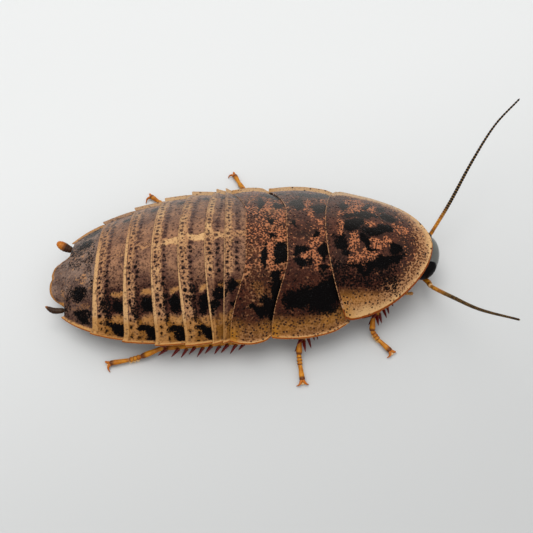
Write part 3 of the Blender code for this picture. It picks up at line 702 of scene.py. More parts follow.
class RoachLimbLook(bpy.types.PropertyGroup):
    """Colours and counts of the head, the feelers and the legs."""
    amber: colour_property("Amber", "Deeper leg colour", 148, 80, 10)
    honey: colour_property("Honey", "Lighter leg colour", 194, 126, 30)
    membrane: colour_property("Membrane", "Pale skin in the joints", 222, 190, 140)
    ring: colour_property("Joint ring", "Dark rings at the joints", 70, 26, 8)
    spine: colour_property("Spine", "Spines of the legs", 84, 12, 6)
    claw: colour_property("Claw", "Claws", 172, 92, 22)
    feeler: colour_property("Feeler", "Outer part of the antennae", 10, 6, 4)
    feeler_ring: colour_property("Feeler ring", "Fine rings of the antennae", 152, 112, 58)
    head: colour_property("Head", "Head capsule", 18, 15, 14)
    # Painted reflection: grey of the sky reflected on the top of the head
    crown: colour_property("Crown", "Top of the head", 74, 74, 68)
    head_brown: colour_property("Head brown", "Brown tinge of the head", 48, 28, 18)
    eye: colour_property("Eye", "Eyes", 9, 7, 7)
    eye_rim: colour_property("Eye rim", "Red-brown edge of the eyes", 74, 22, 10)
    rings: IntProperty(name="Antenna rings", description="Rings of each antenna", default=58, min=10, max=90)


class RoachStageLook(bpy.types.PropertyGroup):
    """Floor, light and camera."""
    floor: colour_property("Floor", "Plain pale floor", 204, 203, 201)
    lens: FloatProperty(name="Lens", description="Focal length on a 36 mm sensor", default=54.03, min=10.0,
                        unit="CAMERA")
    key: power_property("Key light", "Power of the large light behind", 0.16)
    top: power_property("Top light", "Power of the light overhead", 1.0)
    fill: power_property("Fill light", "Power of the soft light at the camera's side", 0.15)
    air: FloatProperty(name="Surroundings", description="Strength of the light from all round", default=0.8,
                       min=0.0)


# Plates of the back

def crowded(share):
    """The same shares from -1 to 1, drawn together toward both ends."""
    return share * (1.3 - 0.3 * share ** 2)


def plate_grid(rows, columns):
    """Shares from 0 at the front edge to 1 at the hind one, and from -1 to 1 across."""
    along = (crowded(np.linspace(-1.0, 1.0, rows)) + 1.0) / 2.0
    return np.meshgrid(along, crowded(np.linspace(-1.0, 1.0, columns)), indexing="ij")


def by_side(across, left, right):
    """One value on the left of the axis and another one on its right."""
    return np.where(across > 0.0, left, right)


def shell_under(top, inset, thickness):
    """Underside below a top surface, which closes to a round edge within a short inset."""
    closing = bow(1.0 - held(inset))
    under = top.copy()
    under[..., 2] -= thickness * closing
    return under


def dot_row(across, behind, at, spacing, radius, seed):
    """Row of dots across the body at a distance before the hind edge, each set off a little."""
    j = np.round(across / spacing).astype(np.int64)
    off_across = (lattice(j, j * 0, seed) - 0.5) * 0.35 * spacing
    off_along = (lattice(j, j * 0 + 7, seed) - 0.5) * 0.45 * spacing
    size = radius * (0.65 + 0.7 * lattice(j, j * 0 + 3, seed))
    distance = np.hypot(across - j * spacing - off_across, behind - at - off_along)
    return ramp(size * 1.35, distance, size * 0.8)


def warped(x, y, size, reach):
    """The same places shifted about by noise, which makes the outline of a mark ragged."""
    return x + reach * (rough(x, y, size, 41) - 0.5), y + reach * (rough(x, y, size, 57) - 0.5)


def box_mark(u, low, high, soft):
    """1 between low and high, falling to 0 outside over a soft width."""
    return smooth((u - low) / soft + 0.5) * smooth((high - u) / soft + 0.5)


# Patches of the plates: middle, half length and half width in millimetres, and turn in degrees
SHIELD_RUST = (
    (11.5, 3.0, 0.85, 0.36, 8), (11.6, 3.9, 0.5, 0.6, 20), (10.5, 2.7, 0.4, 0.25, 0),
    (13.45, 3.2, 0.62, 0.5, 30), (14.45, 2.5, 0.45, 0.42, -30), (12.4, 1.3, 0.55, 0.26, 0),
    (15.8, 1.0, 1.1, 0.4, 5), (11.4, -0.3, 0.38, 0.55, 0), (11.2, -1.25, 0.5, 0.36, 30),
    (13.5, -0.65, 0.7, 0.36, -5), (13.45, -1.35, 0.36, 0.55, -10), (14.5, -0.5, 0.32, 0.3, 0),
    (11.3, -2.5, 0.6, 0.5, 0), (12.35, -2.3, 0.75, 0.55, 0), (13.2, -2.45, 0.45, 0.4, 0),
    (10.1, 0.9, 0.3, 0.9, 0), (12.0, 4.5, 1.0, 0.3, -12), (10.6, -3.0, 0.3, 0.4, 0),
)
SHIELD_BLACK = (
    (14.2, -2.8, 0.85, 0.6, 25), (12.6, 3.6, 0.5, 0.5, 0), (10.6, 3.3, 0.6, 0.45, 0),
    (14.6, 3.5, 0.6, 0.5, -40), (12.6, 2.3, 1.9, 0.42, 0), (11.4, 1.2, 1.0, 0.75, 0),
    (13.5, 0.6, 1.5, 0.5, 10), (12.4, -0.9, 0.55, 0.85, 0), (10.0, -0.9, 0.85, 0.9, 0),
    (10.4, -2.0, 0.5, 0.4, 0), (14.8, -1.2, 0.8, 0.6, 0), (12.6, -3.3, 2.4, 0.42, 0),
    (15.2, -2.2, 1.0, 0.5, 35), (15.0, 2.2, 1.0, 0.5, -38), (12.9, -1.75, 0.9, 0.2, 0),
)
MESONOTUM_RUST = (
    (7.8, 1.5, 0.36, 0.45, 0), (7.9, 0.1, 0.34, 0.6, 0), (7.1, -0.9, 0.45, 0.6, 0),
    (7.0, -2.35, 0.55, 0.45, 0), (7.5, -2.9, 0.5, 0.4, 0), (8.7, -3.3, 0.35, 0.4, 0),
    (6.85, 3.9, 0.38, 1.0, 0), (8.6, 4.7, 0.6, 0.4, 0), (7.0, 2.4, 0.3, 0.5, 0),
)
MESONOTUM_BLACK = (
    (5.8, 4.1, 0.85, 1.0, 0), (8.1, 3.3, 0.95, 0.85, 0), (8.0, -1.7, 0.7, 0.8, 0),
    (5.9, -1.7, 0.65, 0.7, 0), (6.0, -3.0, 0.85, 0.6, 0), (8.0, -3.35, 0.5, 0.5, 0),
    (7.3, 0.0, 0.32, 0.36, 0), (8.2, -5.6, 2.2, 1.5, 12), (6.1, -6.0, 1.8, 1.05, 5),
    (8.7, -4.6, 0.8, 0.8, 0), (7.8, 6.1, 2.1, 0.7, 0), (5.6, 0.9, 0.5, 0.4, 0),
)
METANOTUM_RUST = (
    (3.0, 4.1, 0.5, 1.3, 0), (4.4, 2.1, 0.3, 0.7, 0), (4.35, 0.0, 0.32, 0.6, 0),
    (2.8, -0.6, 0.45, 0.32, 0), (3.2, -1.3, 0.5, 0.6, 0), (4.4, -0.9, 0.3, 0.4, 0),
    (3.4, -2.6, 0.5, 0.95, 15), (3.8, -3.4, 0.4, 0.4, 0), (4.6, -4.2, 0.3, 0.5, 0),
    (2.6, 2.6, 0.35, 0.6, 0),
)
METANOTUM_BLACK = (
    (3.5, 1.7, 0.55, 0.45, 0), (3.6, -0.35, 0.5, 0.36, 0), (4.3, -2.3, 0.6, 0.95, 8),
    (2.4, -2.5, 0.42, 1.2, 0), (2.1, 4.2, 0.36, 1.2, 0), (4.0, 3.6, 0.6, 0.65, 0),
    (3.75, -4.4, 0.6, 0.8, 0), (3.6, -5.6, 0.6, 0.9, 0), (3.2, -6.5, 0.75, 0.6, 0),
    (2.1, -6.9, 1.3, 0.45, 0), (3.2, 5.9, 1.4, 0.55, -25),
)
LOBE_AMBER = ((2.2, -5.7, 1.0, 0.9, 0),)


def build_pronotum(look):
    """Hood over the head, on a square grid bent to the outline.

    A grid place becomes a share of the way from the middle to the outline. Its height is the back's
    bow, drawn down to the margin, with a shallow gutter inside a rounded bead along the edge.
    """
    u, v = np.meshgrid(np.linspace(1.0, -1.0, 150), np.linspace(-1.0, 1.0, 216), indexing="ij")
    p = u * np.sqrt(1.0 - v * v / 2.0)
    q = v * np.sqrt(1.0 - u * u / 2.0)
    angle = np.arctan2(q, p)
    radius = crowded(np.hypot(p, q))
    c = np.cos(angle)
    s = np.sin(angle)
    ahead_x = SHIELD_START + SHIELD_LENGTH * held(c) ** 1.25
    ahead_y = SHIELD_HALF * np.abs(s) ** 1.11 * np.sign(s)
    edge_x = np.where(c > 0.0, ahead_x, shield_hind(SHIELD_HALF * s))
    edge_y = np.where(c > 0.0, ahead_y, SHIELD_HALF * s)
    x = SHIELD_MIDDLE + (edge_x - SHIELD_MIDDLE) * radius
    corner = hump(np.abs(angle), math.pi / 2.0, 0.055) * radius ** 8
    x = x + 0.12 * corner * np.sign(c)
    bulge = hump(angle, 1.62, 0.3) * radius ** 4
    across = edge_y * radius * (1.0 - 0.016 * corner + 0.03 * bulge)
    y = bend(x) + across
    share = np.abs(across) / most(shield_half_width(x), 0.05)
    z = dome(shield_margin(x), back_z(x), share) + 0.125 * ramp(x, SHIELD_MIDDLE, -3.0)
    inset = (1.0 - radius) * np.hypot(edge_x - SHIELD_MIDDLE, edge_y)
    bead = 0.07 * hump(inset, 0.12, 0.1)
    gutter = 0.05 * hump(inset, 0.45, 0.25)
    sagging = 0.22 * share ** 6 * ramp(x, 17.5, -3.0)
    dents = 0.16 * (rough(x, y, 2.4, 5) - 0.5) * smooth(inset / 1.5)
    grain = 0.045 * (rough(x, y, 0.45, 9) - 0.5) * smooth(inset / 0.8)
    top = np.stack([x, y, z + bead - gutter - sagging + dents + grain], axis=-1)
    under = shell_under(top, inset / 0.16, look.thickness / MM)
    disc_along = (x - 9.8) / 6.3
    disc_across = y / by_side(y, 5.6, 4.5)
    disc = np.hypot(disc_along, disc_across)
    bearing = np.degrees(np.arctan2(disc_across, disc_along))
    fade = np.interp(bearing, (-90.0, -40.0, 20.0, 60.0, 90.0), (0.62, 0.56, 0.46, 0.22, 0.14))
    hind = x - shield_hind(across)
    wx, wy = warped(x, y, 1.2, 1.6)
    disc = disc + 0.12 * (rough(x, y, 1.0, 71) - 0.5)
    pale = ramp(disc, 0.97, fade) ** 1.3 * 0.97
    line = ramp(hind, 0.09, -0.04)
    inside = 1.0 - ramp(disc, 1.0, 0.3)
    flank = ramp(-y, 2.2, 0.8) * (1.0 - ramp(-y, 4.7, 1.4)) * ramp(x, 16.4, -1.5)
    dark = most(spots(wx, wy, SHIELD_BLACK) * 1.15, 0.22 + 0.4 * flank) * most(inside, flank)
    ahead = hump(disc, 1.08, 0.16) * ramp(x, 13.6, 1.5)
    rust = most(spots(wx, wy, SHIELD_RUST, 1.08) * inside, 0.36 * ahead)
    rust = most(rust, (0.18 + 0.5 * (rough(x, y, 1.6, 21) - 0.5)) * inside)
    dots = dot_row(across, hind, 0.35, 0.6, 0.08, 3)
    dark = most(dark, 0.7 * dots) * (1.0 - line)
    pale = most(pale, line * 0.7)
    corner = ramp(x, 12.2, -2.2) * ramp(share, 0.72, 0.22)
    # Amber of the near border: partly its own colour, partly a painted glow of light shining through the
    # thin margin
    gold_with_painted_glow = (0.5 - 0.24 * ramp(share, 0.8, 0.15)) * ramp(-y, 4.3, 1.8) * ramp(x, 17.8, -3.0)
    rim = np.where(inset < 0.11, 0.3 + 0.7 * ramp(y, 1.5, -2.5), most(0.62 * corner * (y < 0.0), gold_with_painted_glow))
    rim = np.where((hind < 0.2) & (share < 0.9), 0.0, rim)
    form = Form()
    sheet(form, top, under, row_marks(dark, rust, pale, rim), row_marks(0.0, 0.0, 0.9))
    return form


def build_plate(look, front, hind, width, marks, rows, columns=300, lift=(-0.3, 0.13), flare=0.0):
    """One ring of the back on a grid from its hidden front edge to its hind edge.

    The height is the back's bow plus a rise from under the plate ahead, with a rounded hind rim.
    """
    s, a = plate_grid(rows, columns)
    lead = front(a)
    trail = hind(a)
    hidden = look.overlap / MM
    reach = hidden - 1.1 * hidden * np.abs(a) ** 24
    x = lead + reach + (trail - lead - reach) * s
    along = (lead - x) / most(lead - trail, 0.1)
    wide = width(x, along, a)
    across = a * wide
    y = bend(x) + across
    step = lift[0] * (1.0 - ramp(lead + hidden, x, hidden)) + lift[1] * along
    flange = held(by_side(a, FLANGE_LEFT, FLANGE_RIGHT) / wide, 0.4)
    z = dome(margin_z(x), back_z(x), a / (1.0 - flange)) + step - 0.2 * a ** 6
    behind = x - trail
    sides = (1.0 - np.abs(a)) * wide
    inset = least(behind, lead + reach - x, sides * 2.0)
    z = z + 0.035 * hump(behind, 0.12, 0.1) + flare * hump(sides, 0.1, 0.12)
    z = z + 0.1 * (rough(x, y, 1.8, 5) - 0.5) + 0.035 * (rough(x, y, 0.4, 9) - 0.5)
    paint, dots = marks(x, y, across, along, behind, a)
    z = z + 0.03 * dots
    top = np.stack([x, y, z], axis=-1)
    under = shell_under(top, inset / 0.14, look.thickness / MM)
    form = Form()
    sheet(form, top, under, paint, row_marks(0.0, 0.0, 0.85, 0.2))
    return form


def shield_edge(a):
    """Front edge of the first plate with wing pads, below the hood's hind edge."""
    return shield_hind(a * half_width(HOOD_BASE) * 0.97)


def pad_edge(middle):
    """Hind edge whose sides sweep back into wing pads."""
    return lambda a: middle - PAD_SWEEP * ramp(np.abs(a), 0.28, 0.7)


def tergite_edge(middle, corner, point):
    """Hind edge bowed between its middle and its corners, which end in a small backward point."""
    return lambda a: middle + (corner - middle) * a ** 2 - point * ramp(np.abs(a), 0.86, 0.14) ** 2


def pad_width(x, s, a):
    """Half width of a ring of the thorax, whose right lobe hangs out a little further."""
    notch = 0.03 * hump(s, 0.0, 0.1)
    return half_width(x) * (0.985 + np.where(a < 0.0, 0.048, 0.03) * np.sin(math.pi * held(s)) - notch)


def ring_width(x, s, a):
    """Half width of a ring, which widens to its hind corners."""
    far = 0.018 * (a > 0.0) * ramp(x, -10.0, 6.0)
    return half_width(x) * (0.975 + 0.035 * held(s) + far)


def pad_marks(rust_places, black_places, net, seed):
    """Marks of a thoracic plate: its own patches, an olive to cream border and amber corners."""
    def marks(x, y, across, along, behind, a):
        share = np.abs(a)
        wx, wy = warped(x, y, 1.2, 1.6)
        near = smooth(-across / 2.0)
        border = ramp(share, 0.74, 0.2)
        pale = (1.8 * net - 0.34) * rough(x, y, 1.0, seed) * (1.0 - border)
        hem = ramp(share, by_side(a, 0.915, 0.92), by_side(a, 0.015, 0.07))
        pale = most(pale, 0.45 * border, 0.95 * hem)
        inside = 1.0 - ramp(share, 0.88, 0.08)
        shadow = 0.14 + 0.2 * near * ramp(share, 0.35, 0.2)
        dark = most(spots(wx, wy, black_places) * 1.1, shadow) * inside
        ground = (net + 0.6 * (rough(x, y, 1.6, 21) - 0.5)) * (1.0 - 0.8 * near * ramp(share, 0.4, 0.2))
        rust = most(spots(wx, wy, rust_places, 1.15), ground) * inside
        dots = np.zeros_like(x)
        for number in range(4):
            row = dot_row(across, behind, 0.35 + 0.75 * number, 0.62, 0.09, seed + number)
            dots = most(dots, row * (ramp(share, 0.2, 0.3) if number else 1.0))
        dark = most(dark, dots * 0.75 * inside)
        line = ramp(behind, 0.09, -0.04)
        dark = dark * (1.0 - line)
        pale = most(pale, 0.7 * line)
        corner = ramp(share, 0.8, 0.14) * ramp(behind, 1.6, -1.3)
        # Amber of the near border: partly its own colour, partly a painted glow of light shining through the
        # thin margin
        gold_with_painted_glow = (0.54 - 0.2 * ramp(share, 0.86, 0.1)) * ramp(share, 0.74, 0.18) * near
        gold_with_painted_glow = gold_with_painted_glow * (0.6 + 0.8 * rough(x, y, 1.4, 33))
        lobe = least(spots(wx, wy, LOBE_AMBER), 1.0)
        amber = most(gold_with_painted_glow, 0.74 * corner * most(near, 0.6), 0.3 * lobe)
        rim = most(amber, ramp(share, 0.984, 0.007) * by_side(a, 0.4, 1.0))
        return row_marks(dark, rust, pale, rim), dots
    return marks


SIDE_BLACK = (
    (-1.7, -5.6, 0.9, 0.75, 40), (-0.5, -4.9, 0.8, 0.6, 40), (-2.4, -6.6, 0.9, 0.5, 10),
    (-0.2, -6.2, 0.4, 0.35, 0), (-1.4, -4.2, 0.4, 0.4, 0),
)


def ring_marks(number, length, hem, near_hem, middle, shade):
    """Marks of a ring of the abdomen.

    From front to hind edge: smooth brown blocks parted by a pale patch on the axis, a row of dark
    blots, a tan band, a row of dots and a pale hem. Toward each side the front part carries a small
    ochre patch, a black oval, another ochre patch and a dark patch at the margin, the hind part a
    black column. The dots are the second mark.
    """
    def marks(x, y, across, along, behind, a):
        apart = 17.0 * number
        wx, wy = warped(across + apart, behind, 0.9, 0.8)
        reach = np.abs(wx - apart)
        share = np.abs(a) + (reach - np.abs(across)) / 9.0
        back = along + (behind - wy) / length
        near = ramp(-across, 0.3, 1.2)
        line = hem + (near_hem - hem) * ramp(-across, 2.5, 4.0)
        patchy = rough(x, y, 1.1, 60 + number)
        band = ramp(back, 0.5, 0.16)
        inner = 1.0 - ramp(share, 0.5, 0.12)
        pale = band * (0.76 + 0.36 * (patchy - 0.4) - 0.1 * near)
        pale = most(pale, (1.0 - band) * (0.06 + 0.2 * near * (patchy - 0.2)))
        centre = ramp(reach, 0.6, -0.3) * (1.0 - 0.3 * band) * middle * (0.98 + 0.3 * (patchy - 0.5))
        pale = most(pale, centre)
        front = ramp(back, 0.44, -0.08)
        side = 0.4 + 0.5 * near
        ochre = most(box_mark(share, 0.51, 0.565, 0.06), box_mark(share, 0.765, 0.845, 0.06)) * front
        pale = most(pale, ochre * side * (0.6 + 0.5 * patchy))
        flank_side = near * box_mark(share, 0.46, 0.84, 0.12) * (1.0 - ochre)
        dark = 0.24 * (1.0 - band) * (1.0 - smooth(centre * 2.0)) * (0.3 + near)
        dark = dark + 0.14 * band * near * inner + 0.16 * flank_side
        oval = np.hypot((share - 0.665) / 0.085, (back * length - 0.42) / 0.6)
        column = np.hypot((share - 0.68) / 0.2, (back - 0.56) / 0.13)
        dark = most(dark, 1.6 - oval, least(1.35 - column, 0.6))
        wedge = box_mark(back, -0.2, 0.66 - 3.6 * (share - 0.86), 0.24)
        dark = most(dark, 0.95 * wedge * box_mark(share, 0.85, 0.972, 0.05))
        margin = ramp(np.abs(a), by_side(a, 0.925, 0.955), 0.02)
        outer = ramp(share, 0.72, 0.1)
        pale = most(pale, 0.66 * outer * ramp(back, 0.62, 0.1), 0.95 * margin)
        seed = 31 * number
        first = dot_row(across, behind, line + 0.3, 0.5, 0.15, seed)
        second = dot_row(across, behind, most(1.22, line + 0.95), 0.52, 0.18, seed + 11)
        third = dot_row(across, behind, line + 0.7, 0.8, 0.09, seed + 17)
        fourth = dot_row(across, behind, 1.9, 0.9, 0.1, seed + 23) * outer
        plain = near * ramp(share, 0.4, 0.12) if number < 3 else np.zeros_like(x)
        dots = most(first, second, third * near, fourth) * (1.0 - margin) * (1.0 - 0.8 * plain)
        cluster = spots(*warped(x, y, 0.9, 1.2), SIDE_BLACK)
        dark = most(dark * (1.0 - plain), most(least(cluster, 0.9), 0.5 * patchy) * plain)
        pale = pale * (1.0 - 0.6 * plain * (1.0 - ramp(share, 0.78, 0.1)))
        # Painted sheen: dark marks are lightened toward the far side, where light from behind glances off
        # the back
        dark = most(dark * (0.6 + 0.4 * smooth(-across / 2.0 + 1.0)), dots * (0.42 + 0.28 * near))
        haze = box_mark(behind - most(0.0, line - 0.27), 1.0, 1.55, 0.3) * inner
        haze = haze * (1.0 - smooth(centre * 1.5))
        flank = near * (1.0 - band) * box_mark(share, 0.46, 0.93, 0.12) * (1.0 - ochre)
        plum = most(dots, 0.42 * haze, (0.5 + 0.4 * patchy) * flank)
        pale = pale * (1.0 - 0.4 * haze)
        edge = ramp(line, behind, 0.04)
        dark = (dark + 0.3 * shade) * (1.0 - edge) * (1.0 - margin)
        plum = plum * (1.0 - edge)
        pale = pale * (1.0 - shade)
        pale = most(pale, edge * (0.88 - 0.2 * smooth(across / 4.0)))
        # Painted shade: thin dark lines in the creases at the hem's front and along the hind edge, where the
        # plates overlap
        painted_crease_shade = hump(behind, line * 1.05, 0.03) + hump(behind, 0.0, 0.035)
        plum = most(plum, 0.7 * painted_crease_shade * (1.0 - margin))
        # Amber of the near margin: partly its own colour, partly a painted glow of light shining through the
        # thin margin
        gold_with_painted_glow = 0.5 * near * most(ochre, ramp(share, 0.72, 0.12))
        bead = ramp(np.abs(a), 0.985, 0.006) * by_side(a, 0.4, 1.0)
        rim = most(0.4 * margin * near, 0.22 * edge, gold_with_painted_glow, bead)
        return row_marks(dark, plum, pale, rim), dots
    return marks


MESO = pad_edge(4.75)
META = pad_edge(0.82)

# Hind edge of each ring of the abdomen, then its length, its pale hem on the axis and on the near
# side, the strength of the pale patch on its axis, and its shade
RINGS = (
    (tergite_edge(-1.2, -1.55, 0.0), (2.0, 0.1, 0.12, 0.75, 0.0)),
    (tergite_edge(-3.12, -2.41, 0.12), (1.9, 0.12, 0.2, 0.85, 0.0)),
    (tergite_edge(-5.69, -4.96, 0.16), (2.6, 0.13, 0.32, 0.95, 0.0)),
    (tergite_edge(-8.26, -7.82, 0.2), (2.6, 0.16, 0.36, 0.95, 0.0)),
    (tergite_edge(-10.94, -10.96, 0.24), (2.7, 0.32, 0.5, 0.6, 0.1)),
    (tergite_edge(-14.06, -14.15, 0.28), (3.1, 0.42, 0.58, 0.42, 0.24)),
    (tergite_edge(-17.16, -17.14, 0.3), (3.1, 0.0, 0.0, 0.0, 0.0)),
)
TAIL_RUST = (
    (-15.6, 0.25, 0.28, 0.18, 20), (-15.1, -5.2, 0.9, 0.3, 0), (-17.4, -3.3, 0.28, 0.5, 30),
    (-15.2, -2.6, 0.4, 0.6, 0),
)


def streaks(x, y, base, size, seed):
    """Dark ground of the hindmost plates, with short darker streaks along the body."""
    clouds = 0.4 * (rough(x, y, size, seed) - 0.5)
    return base + clouds + 0.26 * ramp(rough(x, 0.6 * y, 1.0, 29), 0.54, 0.12)


def last_ring_marks(x, y, across, along, behind, a):
    """Last large ring: dark grey-brown with a few rusty marks and an amber margin."""
    share = np.abs(a)
    margin = ramp(share, 0.9, 0.06)
    rust = spots(x, y, TAIL_RUST)
    ragged_y = warped(x, y, 1.0, 1.0)[1]
    share_there = share + (np.abs(ragged_y) - np.abs(y)) / 7.0
    dark = streaks(x, y, 0.3, 1.7, 77)
    oval = np.hypot((share_there - 0.8) / 0.15, (along - 0.35) / 0.34)
    column = np.hypot((share_there - 0.5) / 0.17, (along - 0.5) / 0.4)
    dark = most(dark, least(most(1.45 - oval, 1.3 - column), 0.82))
    dark = dark * (1.0 - margin) * (1.0 - 0.7 * smooth(rust))
    pale = most(0.12, 0.9 * margin)
    rim = most(0.5 * margin, ramp(share, 0.98, 0.01))
    return row_marks(dark, rust, pale, rim), 0.0


def tip_marks(x, y, across, along, behind, a):
    """Plate at the tail's end: dark, with an amber rim round its two lobes."""
    edge = ramp(least(behind, (1.0 - np.abs(a)) * 2.4), 0.3, -0.16)
    dark = streaks(x, y, 0.2, 1.3, 55) * (1.0 - edge)
    return row_marks(dark, spots(x, y, TAIL_RUST), 0.1 + 0.4 * edge, 0.55 * edge), 0.0


def tip_hind(a):
    """Two lobes with a notch between them."""
    return TAIL + 0.16 * hump(a, 0.0, 0.12) + 0.28 * held(a) + a ** 4


def belly_plate(form, front, hind, share, rows=20):
    """One plate of the underside, a bow below the body whose sides rise to meet the back's plates."""
    s, a = plate_grid(rows, 90)
    x = front + 0.5 + (hind - front - 0.5) * s
    across = a * share
    y = bend(x) + across * half_width(x)
    z = belly_z(x, across) + 0.06 * (rough(x, y, 1.6, 3) - 0.5)
    z = least(z, margin_z(x) - 0.1) - 0.09 * s
    low = np.stack([x, y, z], axis=-1)
    edge = least(1.0 - np.abs(a), s * 0.8, (1.0 - s) * 0.8)
    hanging_sheet(form, low, 0.22 * np.sqrt(held(edge / 0.1)), belly_marks(a, s))


def belly_marks(a, s):
    """Darker toward the sides and along each front edge, with a tan hind rim."""
    dark = 0.55 * ramp(np.abs(a), 0.55, 0.35) + 0.35 * ramp(s, 0.35, -0.3)
    pale = 0.8 * ramp(s, 0.93, 0.04)
    rim = 0.7 * ramp(np.abs(a), 0.93, 0.05)
    return row_marks(dark, 0.0, pale, rim)


# Operators

class Builder:
    """What the operators share: they read the looks and report success."""
    bl_options = {"REGISTER", "UNDO"}

    def execute(self, context):
        self.make(context.scene.roach_shell, context.scene.roach_limbs)
        return {"FINISHED"}


def paint_named(name, maker, *values):
    """One material for each finish, made the first time it is asked for."""
    return bpy.data.materials.get(name) or maker(name, *values)


def back_paint(name, shell):
    """The finish of one part of the back."""
    return paint_named(name, plate_paint, shell, *FINISHES[name])


class ROACH_OT_pronotum(Builder, bpy.types.Operator):
    """Build the hood over the head"""
    bl_idname = "roach.pronotum"
    bl_label = "Pronotum"

    def make(self, shell, limbs):
        paint = back_paint("pronotum_cuticle", shell)
        build_pronotum(shell).finish("hood", paint, "pronotum", "pronotum")


# Front and hind edge of each plate of the chest, and the edges between the belly's plates
CHEST_PLATES = ((15.0, 9.4), (9.6, 4.6), (4.8, -1.6))
BELLY_EDGES = (-0.6, -3.0, -5.5, -8.0, -10.8, -13.8, -16.6)


class ROACH_OT_thorax(Builder, bpy.types.Operator):
    """Build the two plates with wing pads, and the chest below them"""
    bl_idname = "roach.thorax"
    bl_label = "Thorax"

    def make(self, shell, limbs):
        paint = back_paint("thorax_cuticle", shell)
        marks = pad_marks(MESONOTUM_RUST, MESONOTUM_BLACK, 0.32, 100)
        form = build_plate(shell, shield_edge, MESO, pad_width, marks, 70, flare=0.05)
        form.finish("front_pads", paint, "thorax", "mesothorax")
        marks = pad_marks(METANOTUM_RUST, METANOTUM_BLACK, 0.48, 200)
        form = build_plate(shell, MESO, META, pad_width, marks, 66, flare=0.05)
        form.finish("rear_pads", paint, "thorax", "metathorax")
        chest = Form()
        for front, hind in CHEST_PLATES:
            self.chest_plate(chest, front, hind)
        skin = paint_named("belly_cuticle", belly_paint, shell)
        chest.finish("chest", skin, "thorax", "mesothorax", "metathorax", "pronotum")

    def chest_plate(self, form, front, hind):
        """Leathery underside of a ring: a low bow between the margins with a ridge on its axis."""
        s, a = plate_grid(40, 90)
        x = front + (hind - front) * s
        wide = half_width(x)
        wide = np.where(x > SHIELD_START, least(shield_half_width(x), wide), wide) * 0.9
        y = bend(x) + a * wide
        ridge = 0.35 * hump(a, 0.0, 0.06) * np.sin(math.pi * s)
        folds = 0.12 * np.sin(s * 9.0 + a * a * 5.0) * ramp(np.abs(a), 0.85, -0.3)
        z = 3.0 - 0.3 * (1.0 - a ** 2) - ridge + folds
        low = np.stack([x, y, z], axis=-1)
        edge = least(1.0 - np.abs(a), s, 1.0 - s)
        marks = row_marks(0.4 * ramp(np.abs(a), 0.2, -0.1), 0.0, 0.75 * rough(x, y, 1.2, 8))
        hanging_sheet(form, low, 0.4 * np.sqrt(held(edge / 0.08)), marks)


class ROACH_OT_abdomen(Builder, bpy.types.Operator):
    """Build the rings of the abdomen, above and below"""
    bl_idname = "roach.abdomen"
    bl_label = "Abdomen"

    def make(self, shell, limbs):
        paint = back_paint("abdomen_cuticle", shell)
        grey = back_paint("tail_cuticle", shell)
        skin = paint_named("belly_cuticle", belly_paint, shell)
        nodes = ["abdomen_1", "abdomen_1", "abdomen_2", "abdomen_3", "abdomen_4", "abdomen_5", "abdomen_6"]
        edges = [META, *[edge for edge, _ in RINGS]]
        for number, (edge, sizes) in enumerate(RINGS):
            marks = last_ring_marks if number == 6 else ring_marks(number + 1, *sizes)
            rows = 40 if number else 26
            form = build_plate(shell, edges[number], edge, ring_width, marks, rows, flare=0.03)
            form.finish(f"back_ring_{number + 1}", grey if number == 6 else paint, "abdomen", nodes[number])
        for number, (front, hind) in enumerate(zip(BELLY_EDGES, BELLY_EDGES[1:])):
            form = Form()
            belly_plate(form, front, hind, 0.9)
            form.finish(f"belly_ring_{number + 2}", skin, "abdomen", nodes[number + 1])


# Places of each tail feeler, its radius, how blunt it is, where its dark root ends, and its amber
CERCI = {
    "cercus_left": (((-17.2, 2.2, 2.5), (-18.0, 2.45, 2.8), (-18.82, 2.85, 3.15)), 0.5, 5.0, 0.82, 0.6),
    "cercus_right": (((-17.2, -4.8, 2.4), (-18.3, -4.85, 2.5), (-19.13, -4.5, 2.76)), 0.42, 1.3, 1.15, 0.1),
}


class ROACH_OT_tail(Builder, bpy.types.Operator):
    """Build the plates at the tail's end and the two short tail feelers"""
    bl_idname = "roach.tail"
    bl_label = "Tail"

    def make(self, shell, limbs):
        paint = back_paint("tail_cuticle", shell)
        skin = paint_named("belly_cuticle", belly_paint, shell)
        width = lambda x, s, a: 3.05 * (1.0 - 0.16 * held(s))
        form = build_plate(shell, RINGS[-1][0], tip_hind, width, tip_marks, 34, 120, (-0.25, 0.0))
        form.finish("tail_plate", paint, "abdomen", "abdomen_tip")
        form = Form()
        belly_plate(form, -16.3, -18.75, 0.62, 16)
        form.finish("tail_belly", skin, "abdomen", "abdomen_tip")
        skin = paint_named("cercus_cuticle", limb_paint, limbs, "feeler")
        for name, sizes in CERCI.items():
            self.cercus(name, *sizes, skin)

    def cercus(self, name, places, radius, blunt, tip, orange, paint):
        """Flattened spindle of short rings, dark at its root and amber at its tip."""
        count = 90
        path = curve_through(places, count)
        t = np.linspace(0.0, 1.0, count)
        body = np.sqrt(held(t / 0.12)) * (1.0 - t ** blunt) ** 0.5 * (0.65 + 0.35 * smooth(t / 0.6))
        rings = 1.0 - 0.06 * (np.cos(t * math.tau * 7.0) > 0.8)
        size = most(radius * body * rings, 0.03)
        root = 0.94 * ramp(tip, t, 0.4)
        marks = row_marks(root, 0.1 + 0.5 * (rings < 1.0), 0.0, orange * (1.0 - root))
        form = Form()
        sweep(form, path, size, size * 0.8, marks, sides=28)
        form.finish(f"tail_{name}", paint, "cercus", name)


